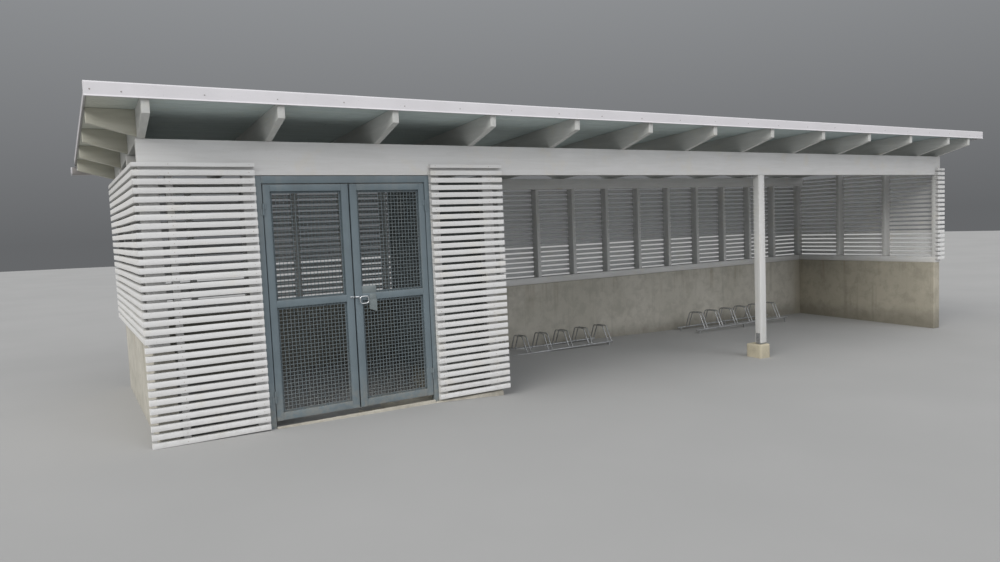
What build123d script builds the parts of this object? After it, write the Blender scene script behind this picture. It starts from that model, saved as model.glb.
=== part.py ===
from build123d import *
import os

# Timber bin and cycle shelter.
# Millimetres, +Z up, +X along the long open front, front face towards -Y.
# The dimensions are laid out from the outer face of the left-hand slats (X = 0), the
# outer face of the front slats (Y = 0) and the underside of the lowest front slat
# (Z = 0); everything is then moved so that the origin is the middle of the footprint
# of the whole shelter, at the lowest ground it meets.

# ---------------------------------------------------------------- driving dimensions
LENGTH = 11570.0          # slat face to slat face
DEPTH = 2730.0            # slat face to slat face
GROUND = -260.0           # lowest ground, at the right-hand end

SLAT = 46.0               # square slat section
TOP_SLAT = 34.0           # the top row is cut narrower
PITCH = 70.0              # slat to slat
N_FULL = 33               # slats in a full-height front panel
N_UPPER = 21              # slats above the low walls

WALL_IN = 60.0            # face of the slats to the outside of the low walls
WALL_T = 160.0            # low concrete wall
WALL_TOP = 795.0
WALL_FRONT = 50.0

STUD_W = 58.0
STUD_D = 145.0
BACK_STUD_D = 120.0
CORNER_POST = 98.0
SILL_H = 92.0

BEAM_Z0, BEAM_Z1 = 2174.0, 2461.0
BEAM_T = 90.0
BEAM_X0, BEAM_X1 = 52.0, 11515.0
BACK_BEAM_H = 145.0

SLOPE = 0.0570            # fall of the roof to the back
RAFTER_D = 220.0
RAFTER_TIP_D = 120.0
RAFTER_FRONT = -415.0
RAFTER_X0 = 62.0
LAST_RAFTER_X = 11416.0
RAFTER_TIP_Z = 2708.0
RAFTER_BACK = 2935.0
RAFTER_PITCH = 981.0
N_RAFTER = 12             # at the pitch, and one more at the right-hand end

ROOF_X0, ROOF_X1 = -278.0, 11790.0
DECK_T = 28.0
DECK_FRONT, DECK_BACK = -422.0, 2955.0
FASCIA_T = 20.0
FASCIA_Z0, FASCIA_Z1 = 2690.0, 2797.0

DOOR_X0, DOOR_X1 = 940.0, 2561.0      # outside of the steel door frame
JAMB = 50.0
HEAD_Z0, HEAD_Z1 = 2105.0, 2170.0
JAMB_Y1 = 96.0
LEAF_Y0, LEAF_Y1 = 46.0, 86.0
LEAF_Z0, LEAF_Z1 = 50.0, 2097.0
LEFT_LEAF = (996.0, 1752.0)
RIGHT_LEAF = (1764.0, 2505.0)
STILE_OUT, STILE_IN = 60.0, 68.0
MID_RAIL = (1035.0, 1098.0)
BOTTOM_RAIL = 67.0
TOP_RAIL = 60.0
HINGE_Z = (262.0, 1886.0)
HINGE_H = 104.0
HINGE_R = 8.0
HINGE_Y = 37.0
LEFT_AXIS_X, RIGHT_AXIS_X = 993.0, 2508.0

SLAB_TOP = -18.0
SILL_LIP = 5.0                         # low lip cast along the slab's front edge, between the jambs
SLAB_X1 = 3288.0
SLAB_FRONT = 20.0
PARTITION_X = 3150.0

PANEL_X1 = 933.0
PANEL2 = (2561.0, 3360.0)
RETURN_X = LENGTH - SLAT - STUD_D

POST_X = (7250.0, 7362.0)
POST_FOOT = -10.0
BLOCK = (7212.0, 7400.0, 20.0, 257.0)
BLOCK_TOP = -26.0

GUTTER_W, GUTTER_H = 110.0, 82.0

RACK_Y = (1978.0, 2395.0)             # front and back ground rail of the cycle racks
RACK_TOP_Y = (2096.0, 2300.0)
RACK_TOP_Z = 128.0
RAIL_R, HOOP_R = 13.5, 8.0
SLOT_PITCH, SLOT_GAP = 353.0, 62.0    # wheel slot to wheel slot; hoop to hoop at one slot
RACK_1 = (4148.0, 6352.0, -94.0, 4190.0, 7)    # rail ends, rail height, first slot, slots
RACK_2 = (8090.0, 10283.0, -126.0, 8304.0, 6)

OX = (ROOF_X0 - FASCIA_T + ROOF_X1 + FASCIA_T) / 2
OY = ((DECK_FRONT - FASCIA_T) + (DECK_BACK + FASCIA_T + GUTTER_W)) / 2
OZ = GROUND


# ---------------------------------------------------------------- helpers
def box(x0, x1, y0, y1, z0, z1):
    return Pos((x0 + x1) / 2, (y0 + y1) / 2, (z0 + z1) / 2) * Box(x1 - x0, y1 - y0, z1 - z0)


def plan(points, z0, z1):
    """A polygon in plan, drawn up from z0 to z1."""
    face = Face(Wire.make_polygon([(x, y, z0) for x, y in points], close=True))
    return Solid.extrude(face, Vector(0, 0, z1 - z0))


def side(points, x0, x1):
    """A polygon in Y and Z, drawn across from x0 to x1."""
    face = Face(Wire.make_polygon([(x0, y, z) for y, z in points], close=True))
    return Solid.extrude(face, Vector(x1 - x0, 0, 0))


def front(points, y0, y1):
    """A polygon in X and Z, drawn back from y0 to y1."""
    face = Face(Wire.make_polygon([(x, y0, z) for x, z in points], close=True))
    return Solid.extrude(face, Vector(0, y1 - y0, 0))


def rafter_top(y):
    return RAFTER_TIP_Z - SLOPE * (y - RAFTER_FRONT)


def rafter_bottom(y):
    return rafter_top(y) - RAFTER_D


def slat_z(i):
    return i * PITCH


UPPER = range(N_FULL - N_UPPER, N_FULL)
nodes = {}


def node(name, *shapes):
    parts = []
    for s in shapes:
        parts.extend(s if isinstance(s, (list, tuple)) else [s])
    nodes[name] = parts


# ---------------------------------------------------------------- concrete
X1 = LENGTH
CI_L = WALL_IN + WALL_T                    # inner face, left wall
CI_R = X1 - WALL_IN - WALL_T               # inner face, right wall
CB_I = DEPTH - WALL_IN - WALL_T            # inner face, back wall
CB_O = DEPTH - WALL_IN

node("left_concrete_wall", box(WALL_IN, CI_L, WALL_FRONT, CB_I, GROUND, WALL_TOP))
node("right_concrete_wall", box(CI_R, X1 - WALL_IN, WALL_FRONT, CB_I, GROUND, WALL_TOP))
node("back_concrete_wall", box(WALL_IN, X1 - WALL_IN, CB_I, CB_O, GROUND, WALL_TOP))
node("bin_room_slab", box(CI_L, SLAB_X1, SLAB_FRONT, CB_I, GROUND, SLAB_TOP)
     + box(DOOR_X0 + JAMB, DOOR_X1 - JAMB, SLAB_FRONT, SLAT, SLAB_TOP - 5, SILL_LIP))

# ---------------------------------------------------------------- sills and studs
S0, S1 = SLAT, SLAT + STUD_D               # outer and inner face of the wall framing
SILL_Z1 = WALL_TOP + SILL_H
node("left_sill", box(S0, S1, SLAT, DEPTH - S1, WALL_TOP, SILL_Z1))
node("right_sill", box(X1 - S1, X1 - S0, SLAT, DEPTH - S1, WALL_TOP, SILL_Z1))
node("back_sill", box(S0, X1 - S0, DEPTH - S1, DEPTH - S0, WALL_TOP, SILL_Z1))

BACK_BEAM_TOP = rafter_bottom(DEPTH - S0)
BACK_BEAM_Z0 = BACK_BEAM_TOP - BACK_BEAM_H
side_stud_y = (SLAT, 871.0, 1716.0)


def side_studs(x0, x1):
    out = []
    for i, y in enumerate(side_stud_y):
        y2 = y + STUD_W
        if i == 0:
            out.append(box(x0, x1, y, y2, SILL_Z1, BEAM_Z0))
        else:
            out.append(side([(y, SILL_Z1), (y2, SILL_Z1), (y2, rafter_bottom(y2)),
                             (y, rafter_bottom(y))], x0, x1))
    return out


node("left_studs", side_studs(S0, S1))
node("right_studs", side_studs(X1 - S1, X1 - S0))

back_x = [10720.0 - 650.0 * i for i in range(0, 12)]
back_x = [x for x in back_x if x > 3400.0]
back_x += [3128.0, 2580.0, 1980.0, 1380.0, 780.0]
by1 = DEPTH - S0
back_studs = [box(x - STUD_W / 2, x + STUD_W / 2, by1 - BACK_STUD_D, by1, SILL_Z1, BACK_BEAM_Z0)
              for x in back_x]
back_studs.append(box(S0, S0 + CORNER_POST, by1 - CORNER_POST, by1, SILL_Z1, BACK_BEAM_Z0))
back_studs.append(box(X1 - S0 - CORNER_POST, X1 - S0, by1 - CORNER_POST, by1, SILL_Z1, BACK_BEAM_Z0))
node("back_studs", back_studs)

# ---------------------------------------------------------------- beams and posts
node("front_beam", box(BEAM_X0, BEAM_X1, SLAT, SLAT + BEAM_T, BEAM_Z0, BEAM_Z1))
yb0, yb1 = DEPTH - S1, DEPTH - S0
node("back_beam", side([(yb0, BACK_BEAM_Z0), (yb1, BACK_BEAM_Z0), (yb1, rafter_bottom(yb1)),
                        (yb0, rafter_bottom(yb0))], S0, X1 - S0))

PY1 = SLAT + BEAM_T
node("left_panel_posts",
     box(240, 240 + STUD_W, SLAT, SLAT + STUD_W, SLAB_TOP, BEAM_Z0),
     box(DOOR_X0 - 105, DOOR_X0, SLAT, PY1, SLAB_TOP, BEAM_Z0))
node("right_panel_posts",
     box(DOOR_X1, DOOR_X1 + 105, SLAT, PY1, SLAB_TOP, BEAM_Z0),
     box(PARTITION_X, PARTITION_X + 115, SLAT, PY1, SLAB_TOP, BEAM_Z0))

node("bay_post", box(POST_X[0], POST_X[1], SLAT, PY1, POST_FOOT, BEAM_Z0))
node("post_shoe",
     box(POST_X[0] + 12, POST_X[1] - 12, SLAT + 12, PY1 - 12, BLOCK_TOP, POST_FOOT - 6)
     + box(POST_X[0] - 5, POST_X[1] + 5, SLAT + 8, PY1 - 8, POST_FOOT - 6, POST_FOOT)
     + box(POST_X[0] - 5, POST_X[0], SLAT + 15, PY1 - 15, POST_FOOT, 120)
     + box(POST_X[1], POST_X[1] + 5, SLAT + 15, PY1 - 15, POST_FOOT, 120))
block = box(BLOCK[0], BLOCK[1], BLOCK[2], BLOCK[3], GROUND, BLOCK_TOP)
block = fillet(block.edges().filter_by(Axis.Z), 14)
block = fillet(block.faces().sort_by(Axis.Z)[-1].edges(), 10)
node("post_block", block)

# ---------------------------------------------------------------- slats
def rows(rng, make):
    return [make(slat_z(i), slat_z(i) + (TOP_SLAT if i == N_FULL - 1 else SLAT)) for i in rng]


low = range(0, N_FULL - N_UPPER)
node("front_left_slats",
     rows(low, lambda a, b: box(0, PANEL_X1, 0, SLAT, a, b)),
     rows(UPPER, lambda a, b: plan([(0, 0), (PANEL_X1, 0), (PANEL_X1, SLAT), (SLAT, SLAT)], a, b)))
node("left_slats",
     rows(UPPER, lambda a, b: plan([(0, 0), (SLAT, SLAT), (SLAT, DEPTH - SLAT), (0, DEPTH - SLAT)], a, b)))
node("back_slats", rows(UPPER, lambda a, b: box(0, X1, DEPTH - SLAT, DEPTH, a, b)))
node("right_slats",
     rows(UPPER, lambda a, b: plan([(X1, 0), (X1, DEPTH - SLAT), (X1 - SLAT, DEPTH - SLAT), (X1 - SLAT, SLAT)], a, b)))
node("right_corner_slats",
     rows(UPPER, lambda a, b: plan([(RETURN_X, 0), (X1, 0), (X1 - SLAT, SLAT), (RETURN_X, SLAT)], a, b)))
node("front_right_slats",
     rows(range(0, N_FULL), lambda a, b: box(PANEL2[0], PANEL2[1], 0, SLAT, a, b)))

# ---------------------------------------------------------------- roof frame
FB, BB = SLAT, DEPTH - S0                 # front face of the front beam, back of the back beam
rafter_profile = [
    (RAFTER_FRONT, rafter_top(RAFTER_FRONT)),
    (RAFTER_FRONT, rafter_top(RAFTER_FRONT) - RAFTER_TIP_D),
    (FB, BEAM_Z1),
    (FB + BEAM_T, BEAM_Z1),
    (FB + BEAM_T, rafter_bottom(FB + BEAM_T)),
    (BB, rafter_bottom(BB)),
    (RAFTER_BACK, rafter_top(RAFTER_BACK) - RAFTER_TIP_D),
    (RAFTER_BACK, rafter_top(RAFTER_BACK)),
]
rafter_x = [RAFTER_X0 + RAFTER_PITCH * i for i in range(N_RAFTER)] + [LAST_RAFTER_X]
rafters = [side(rafter_profile, x, x + STUD_W) for x in rafter_x]
node("rafters_left", rafters[:5])
node("rafters_middle", rafters[5:9])
node("rafters_right", rafters[9:])

outrigger_y = (62.0, 893.0, 1738.0, 2592.0)
OUT_TIP = 110.0


def outriggers(x_root, x_tip):
    out = []
    for y in outrigger_y:
        y0, y1 = y - STUD_W / 2, y + STUD_W / 2
        t = rafter_top(y1)
        low = t - RAFTER_D + 16.0
        if y < FB + BEAM_T:
            low = max(low, BEAM_Z1)
        blank = front([(x_root, t + 20), (x_tip, t + 20), (x_tip, t - OUT_TIP), (x_root, low)], y0, y1)
        under_deck = side([(y0, low - 50), (y1, low - 50), (y1, t), (y0, rafter_top(y0))],
                          min(x_root, x_tip) - 10, max(x_root, x_tip) + 10)
        out.append(blank & under_deck)
    return out


node("left_outriggers", outriggers(rafter_x[0], ROOF_X0))
node("right_outriggers", outriggers(rafter_x[-1] + STUD_W, ROOF_X1))

# ---------------------------------------------------------------- roof
t0, t1 = rafter_top(DECK_FRONT), rafter_top(DECK_BACK)
node("roof_deck", side([(DECK_FRONT, t0), (DECK_BACK, t1), (DECK_BACK, t1 + DECK_T), (DECK_FRONT, t0 + DECK_T)],
                       ROOF_X0, ROOF_X1))
KERB, SIDE_KERB = 45.0, 38.0
kz = FASCIA_Z1 - 6.0
node("roof_kerbs",
     side([(DECK_FRONT, t0 + DECK_T), (DECK_FRONT + KERB, rafter_top(DECK_FRONT + KERB) + DECK_T),
           (DECK_FRONT + KERB, kz), (DECK_FRONT, kz)], ROOF_X0, ROOF_X1),
     side([(DECK_FRONT + KERB, rafter_top(DECK_FRONT + KERB) + DECK_T), (DECK_BACK, t1 + DECK_T),
           (DECK_BACK, t1 + DECK_T + SIDE_KERB),
           (DECK_FRONT + KERB, rafter_top(DECK_FRONT + KERB) + DECK_T + SIDE_KERB)],
          ROOF_X0, ROOF_X0 + KERB),
     side([(DECK_FRONT + KERB, rafter_top(DECK_FRONT + KERB) + DECK_T), (DECK_BACK, t1 + DECK_T),
           (DECK_BACK, t1 + DECK_T + SIDE_KERB),
           (DECK_FRONT + KERB, rafter_top(DECK_FRONT + KERB) + DECK_T + SIDE_KERB)],
          ROOF_X1 - KERB, ROOF_X1))
FELT = 6.0
fy = DECK_FRONT + KERB
node("roof_felt", side([(fy, rafter_top(fy) + DECK_T), (DECK_BACK, t1 + DECK_T),
                        (DECK_BACK, t1 + DECK_T + FELT), (fy, rafter_top(fy) + DECK_T + FELT)],
                       ROOF_X0 + KERB, ROOF_X1 - KERB))

# fascia: a folded edge, its face in front and a narrow top over the kerb
node("front_fascia",
     side([(DECK_FRONT - FASCIA_T, FASCIA_Z0), (DECK_FRONT, FASCIA_Z0), (DECK_FRONT, kz),
           (DECK_FRONT + KERB + 12, kz), (DECK_FRONT + KERB + 12, FASCIA_Z1),
           (DECK_FRONT - FASCIA_T, FASCIA_Z1)], ROOF_X0 - FASCIA_T, ROOF_X1 + FASCIA_T))


def verge(x0, x1):
    zt = rafter_top(DECK_FRONT) + DECK_T + SIDE_KERB - 4
    drop = SLOPE * (DECK_BACK + FASCIA_T - DECK_FRONT)
    return side([(DECK_FRONT, FASCIA_Z0 - 4), (DECK_BACK + FASCIA_T, FASCIA_Z0 - 4 - drop),
                 (DECK_BACK + FASCIA_T, zt - drop), (DECK_FRONT, zt)], x0, x1)


node("left_verge_board", verge(ROOF_X0 - FASCIA_T, ROOF_X0))
node("right_verge_board", verge(ROOF_X1, ROOF_X1 + FASCIA_T))
node("back_fascia", box(ROOF_X0, ROOF_X1, DECK_BACK, DECK_BACK + FASCIA_T, t1 - 55, t1 + DECK_T - 2))

# gutter hung on the back fascia, under the low edge
gy0 = DECK_BACK + FASCIA_T
gz1 = t1 - 20
gz0 = gz1 - GUTTER_H
GX0, GX1 = ROOF_X0 - 52, ROOF_X1 + 52
gutter = box(GX0, GX1, gy0, gy0 + GUTTER_W, gz0, gz1) - box(GX0 + 3, GX1 - 3, gy0 + 3, gy0 + GUTTER_W - 3, gz0 + 3, gz1 + 10)
node("gutter", gutter)

# ---------------------------------------------------------------- steel door frame
node("door_head", box(DOOR_X0 + JAMB, DOOR_X1 - JAMB, SLAT, JAMB_Y1, HEAD_Z0, HEAD_Z1))


def leaf_frame(x0, x1, left):
    sa, sb = (STILE_OUT, STILE_IN) if left else (STILE_IN, STILE_OUT)
    f = box(x0, x1, LEAF_Y0, LEAF_Y1, LEAF_Z0, LEAF_Z1)
    f -= box(x0 + sa, x1 - sb, LEAF_Y0 - 1, LEAF_Y1 + 1, LEAF_Z0 + BOTTOM_RAIL, MID_RAIL[0])
    f -= box(x0 + sa, x1 - sb, LEAF_Y0 - 1, LEAF_Y1 + 1, MID_RAIL[1], LEAF_Z1 - TOP_RAIL)
    return f


def leaf_mesh(x0, x1, left):
    sa, sb = (STILE_OUT, STILE_IN) if left else (STILE_IN, STILE_OUT)
    return [box(x0 + sa, x1 - sb, 61, 67, LEAF_Z0 + BOTTOM_RAIL, MID_RAIL[0]),
            box(x0 + sa, x1 - sb, 61, 67, MID_RAIL[1], LEAF_Z1 - TOP_RAIL)]


def barrel(x, z0, z1):
    return Pos(x, HINGE_Y, (z0 + z1) / 2) * Cylinder(HINGE_R, z1 - z0)


def hinge_pair(xa, toward):
    """Lower halves, welded to the jamb, and upper halves, welded to the leaf."""
    fixed, moving = [], []
    for z in HINGE_Z:
        lo, hi = z - HINGE_H / 2, z + HINGE_H / 2
        xs = sorted((xa - toward * 3.0, xa - toward * 26.0))
        fixed.append(barrel(xa, lo, z - 0.5) + box(xs[0], xs[1], HINGE_Y + 4, SLAT, lo, z - 0.5))
        xs = sorted((xa + toward * 3.0, xa + toward * 26.0))
        moving.append(barrel(xa, z + 0.5, hi) + box(xs[0], xs[1], HINGE_Y + 4, SLAT, z + 0.5, hi))
    return fixed, moving


lf, lm = hinge_pair(LEFT_AXIS_X, 1)
rf, rm = hinge_pair(RIGHT_AXIS_X, -1)


def welded(shape, pieces):
    for p in pieces:
        shape += p
    return shape


node("left_jamb", welded(box(DOOR_X0, DOOR_X0 + JAMB, SLAT, JAMB_Y1, SLAB_TOP, HEAD_Z1), lf))
node("right_jamb", welded(box(DOOR_X1 - JAMB, DOOR_X1, SLAT, JAMB_Y1, SLAB_TOP, HEAD_Z1), rf))
node("left_leaf_frame", welded(leaf_frame(*LEFT_LEAF, True), lm))
node("left_leaf_mesh", leaf_mesh(*LEFT_LEAF, True))
node("right_leaf_frame", welded(leaf_frame(*RIGHT_LEAF, False), rm))
node("right_leaf_mesh", leaf_mesh(*RIGHT_LEAF, False))

# lock: a case under the mid rail, a plate in the corner above it, a pull loop and a bolt
node("lock_case", box(1898, 1970, 41, 61, 922, MID_RAIL[0]) + box(1898, 1966, 42, LEAF_Y0, MID_RAIL[0] - 5, 1090))
node("lock_plate", box(RIGHT_LEAF[0] + STILE_IN, 1972, 51, 61, MID_RAIL[1], 1166))
loop = box(1796, 1888, 16, 25, 1003, 1079) - box(1807, 1877, 10, 30, 1014, 1068)
loop += box(1796, 1807, 25, LEAF_Y0, 1050, 1064) + box(1877, 1888, 25, LEAF_Y0, 1050, 1064)
node("pull_loop", loop)
node("lock_bolt", box(1760, 1796, 30, LEAF_Y0, 1064, 1080))
node("bolt_keeper", box(1716, 1751, 30, LEAF_Y0, 1062, 1082))

# ---------------------------------------------------------------- partition
PX = PARTITION_X
node("partition_boards", box(PX, PX + 22, PY1, CB_I, SLAB_TOP, BEAM_Z0))
node("partition_studs", [box(PX + 22, PX + 117, y, y + 45, SLAB_TOP, BEAM_Z0)
                         for y in (PY1, 720, 1305, 1890, CB_I - 45)])

# ---------------------------------------------------------------- cycle racks
def rack(name, x0, x1, zr, first, count):
    rails = []
    for y in RACK_Y:
        r = Pos((x0 + x1) / 2, y, zr) * Rot(0, 90, 0) * Cylinder(RAIL_R, x1 - x0)
        for x in (x0 + 60, (x0 + x1) / 2, x1 - 60):
            r += box(x - 12, x + 12, y - 9, y + 9, GROUND, zr)
        rails.append(r)
    node(name + "_rails", rails)
    path = Polyline((0, RACK_Y[0], zr), (0, RACK_TOP_Y[0], RACK_TOP_Z), (0, RACK_TOP_Y[1], RACK_TOP_Z),
                    (0, RACK_Y[1], zr))
    path = fillet(path.vertices().sort_by(Axis.Z)[-2:], 45)
    hoop = sweep(Plane(path @ 0, z_dir=path % 0) * Circle(HOOP_R), path=path)
    for y in RACK_Y:
        hoop -= Pos(0, y, zr) * Rot(0, 90, 0) * Cylinder(RAIL_R, 60)
    hoop = max(hoop.solids(), key=lambda s: s.volume)
    node(name + "_hoops", [Pos(first + SLOT_PITCH * i + d, 0, 0) * hoop
                           for i in range(count) for d in (-SLOT_GAP / 2, SLOT_GAP / 2)])


rack("left_rack", *RACK_1)
rack("right_rack", *RACK_2)

# ---------------------------------------------------------------- write
os.makedirs("parts", exist_ok=True)
shift = Location((-OX, -OY, -OZ))
for name, shapes in nodes.items():
    solids = []
    for s in shapes:
        solids.extend(s.solids())
    shape = Compound(children=[shift * s for s in solids]) if len(solids) > 1 else shift * solids[0]
    export_step(shape, "parts/%s.step" % name)
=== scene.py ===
import bpy, bmesh, math, random
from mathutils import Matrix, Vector

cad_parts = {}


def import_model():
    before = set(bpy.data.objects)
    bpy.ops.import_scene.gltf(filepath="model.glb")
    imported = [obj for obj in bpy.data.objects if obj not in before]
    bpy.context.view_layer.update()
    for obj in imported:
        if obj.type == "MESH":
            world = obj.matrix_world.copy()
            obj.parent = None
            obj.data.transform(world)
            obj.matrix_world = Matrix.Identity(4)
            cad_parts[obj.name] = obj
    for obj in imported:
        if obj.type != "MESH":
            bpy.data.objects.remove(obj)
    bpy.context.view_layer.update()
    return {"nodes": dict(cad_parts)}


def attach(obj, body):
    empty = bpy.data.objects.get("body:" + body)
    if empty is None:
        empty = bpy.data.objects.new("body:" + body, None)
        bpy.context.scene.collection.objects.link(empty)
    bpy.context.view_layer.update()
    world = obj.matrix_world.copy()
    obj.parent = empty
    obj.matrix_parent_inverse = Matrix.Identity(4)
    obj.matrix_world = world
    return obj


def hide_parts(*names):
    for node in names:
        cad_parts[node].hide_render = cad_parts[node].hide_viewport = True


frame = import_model()
nodes = frame["nodes"]

# ------------------------------------------------------------------ layout, millimetres
# The same layout as the construction: X = 0 is the outer face of the left slats, Y = 0
# the outer face of the front slats, Z = 0 the underside of the lowest front slat.
OX, OY, OZ = 5756.0, 1321.5, -260.0
LENGTH, DEPTH, GROUND = 11570.0, 2730.0, -260.0
SLAT, TOP_SLAT, PITCH = 46.0, 34.0, 70.0
N_FULL, N_UPPER = 33, 21
STUD_W, STUD_D = 58.0, 145.0
PANEL_X1, PANEL2 = 933.0, (2561.0, 3360.0)
RETURN_X = LENGTH - SLAT - STUD_D
SLOPE, RAFTER_TIP_Z, RAFTER_FRONT = 0.0570, 2708.0, -415.0
ROOF_X0, ROOF_X1, DECK_T = -278.0, 11790.0, 28.0
DECK_FRONT, DECK_BACK, FASCIA_T = -422.0, 2955.0, 20.0
FASCIA_Z0, FASCIA_Z1, KERB = 2690.0, 2797.0, 45.0
GUTTER_W, GUTTER_H = 110.0, 82.0
BEAM_Z0 = 2174.0
UPPER = range(N_FULL - N_UPPER, N_FULL)


def rtop(y):
    return RAFTER_TIP_Z - SLOPE * (y - RAFTER_FRONT)


def world(x, y, z):
    return ((x - OX) / 1000.0, (y - OY) / 1000.0, (z - OZ) / 1000.0)


# ------------------------------------------------------------------ camera
CAM = dict(f=735.91, yaw=0.541916, pitch=-0.074942, roll=-0.042015, c=(-551.5, -6369.6, 1664.0))


def make_camera():
    cy, sy = math.cos(CAM["yaw"]), math.sin(CAM["yaw"])
    cp, sp = math.cos(CAM["pitch"]), math.sin(CAM["pitch"])
    fwd = Vector((sy * cp, cy * cp, sp))
    right = Vector((cy, -sy, 0.0))
    up = right.cross(fwd)
    cr, sr = math.cos(CAM["roll"]), math.sin(CAM["roll"])
    r2, u2 = right * cr + up * sr, up * cr - right * sr
    cam = bpy.data.cameras.new("camera")
    cam.sensor_fit = "HORIZONTAL"
    cam.sensor_width = 36.0
    cam.lens = CAM["f"] * 36.0 / 1000.0
    cam.clip_start, cam.clip_end = 0.05, 300.0
    ob = bpy.data.objects.new("camera", cam)
    bpy.context.scene.collection.objects.link(ob)
    m = ob.matrix_world.copy()
    for i in range(3):
        m[i][0], m[i][1], m[i][2] = r2[i], u2[i], -fwd[i]
    loc = world(*CAM["c"])
    for i in range(3):
        m[i][3] = loc[i]
    ob.matrix_world = m
    bpy.context.scene.camera = ob


make_camera()


# ------------------------------------------------------------------ materials
class Net:
    """A small helper for building one material's nodes."""

    def __init__(self, name):
        self.mat = bpy.data.materials.new(name)
        self.mat.use_nodes = True
        self.t = self.mat.node_tree
        self.t.nodes.clear()
        self.out = self.n("ShaderNodeOutputMaterial")
        self.bsdf = self.n("ShaderNodeBsdfPrincipled")
        self.l(self.bsdf.outputs[0], self.out.inputs[0])
        tc = self.n("ShaderNodeTexCoord")
        self.obj = tc.outputs["Object"]
        geo = self.n("ShaderNodeNewGeometry")
        self.nrm = geo.outputs["Normal"]

    def n(self, kind, **props):
        node = self.t.nodes.new(kind)
        for k, v in props.items():
            setattr(node, k, v)
        return node

    def l(self, a, b):
        self.t.links.new(a, b)

    def put(self, socket, value):
        if hasattr(value, "is_output"):
            self.l(value, socket)
        else:
            socket.default_value = value

    def mapping(self, scale, loc=(0, 0, 0), rot=(0, 0, 0)):
        m = self.n("ShaderNodeMapping")
        m.inputs["Scale"].default_value = scale
        m.inputs["Location"].default_value = loc
        m.inputs["Rotation"].default_value = rot
        self.l(self.obj, m.inputs["Vector"])
        return m.outputs[0]

    def noise(self, vec, scale, detail=3.0, rough=0.55, dist=0.0, out="Fac"):
        x = self.n("ShaderNodeTexNoise")
        self.put(x.inputs["Vector"], vec)
        x.inputs["Scale"].default_value = scale
        x.inputs["Detail"].default_value = detail
        x.inputs["Roughness"].default_value = rough
        x.inputs["Distortion"].default_value = dist
        return x.outputs[out]

    def voronoi(self, vec, scale, feature="F1", rand=1.0, out="Distance"):
        x = self.n("ShaderNodeTexVoronoi", feature=feature)
        self.put(x.inputs["Vector"], vec)
        x.inputs["Scale"].default_value = scale
        x.inputs["Randomness"].default_value = rand
        return x.outputs[out]

    def ramp(self, fac, a, b, lo=0.0, hi=1.0, smooth=True):
        """fac from a..b to lo..hi, clamped."""
        x = self.n("ShaderNodeMapRange", interpolation_type="SMOOTHSTEP" if smooth else "LINEAR")
        x.clamp = True
        self.put(x.inputs["Value"], fac)
        for k, v in zip(("From Min", "From Max", "To Min", "To Max"), (a, b, lo, hi)):
            x.inputs[k].default_value = v
        return x.outputs[0]

    def math(self, op, a, b=None, clamp=False):
        x = self.n("ShaderNodeMath", operation=op)
        x.use_clamp = clamp
        self.put(x.inputs[0], a)
        if b is not None:
            self.put(x.inputs[1], b)
        return x.outputs[0]

    def mul(self, *v):
        r = v[0]
        for x in v[1:]:
            r = self.math("MULTIPLY", r, x)
        return r

    def mix(self, fac, a, b, mode="MIX"):
        x = self.n("ShaderNodeMix", data_type="RGBA", blend_type=mode)
        x.clamp_factor = True
        self.put(x.inputs[0], fac)
        self.put(x.inputs[6], a if hasattr(a, "is_output") else (*a, 1.0))
        self.put(x.inputs[7], b if hasattr(b, "is_output") else (*b, 1.0))
        return x.outputs[2]

    def xyz(self, vec):
        x = self.n("ShaderNodeSeparateXYZ")
        self.l(vec, x.inputs[0])
        return x.outputs

    def attr(self, name):
        x = self.n("ShaderNodeAttribute", attribute_name=name)
        return x.outputs["Fac"]

    def bump(self, height, strength, distance, base=None):
        x = self.n("ShaderNodeBump")
        x.inputs["Strength"].default_value = strength
        x.inputs["Distance"].default_value = distance
        self.l(height, x.inputs["Height"])
        if base is not None:
            self.l(base, x.inputs["Normal"])
        return x.outputs[0]

    def finish(self, color, rough, metallic=0.0, normal=None, spec=0.5):
        self.put(self.bsdf.inputs["Base Color"], color if hasattr(color, "is_output") else (*color, 1.0))
        self.put(self.bsdf.inputs["Roughness"], rough)
        self.bsdf.inputs["Metallic"].default_value = metallic
        self.bsdf.inputs["Specular IOR Level"].default_value = spec
        if normal is not None:
            self.l(normal, self.bsdf.inputs["Normal"])
        return self.mat


GRAIN = {"x": (14.0, 260.0, 260.0), "y": (260.0, 14.0, 260.0), "z": (260.0, 260.0, 14.0)}
LONG = {"x": (0.8, 9.0, 9.0), "y": (9.0, 0.8, 9.0), "z": (9.0, 9.0, 0.8)}


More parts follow.
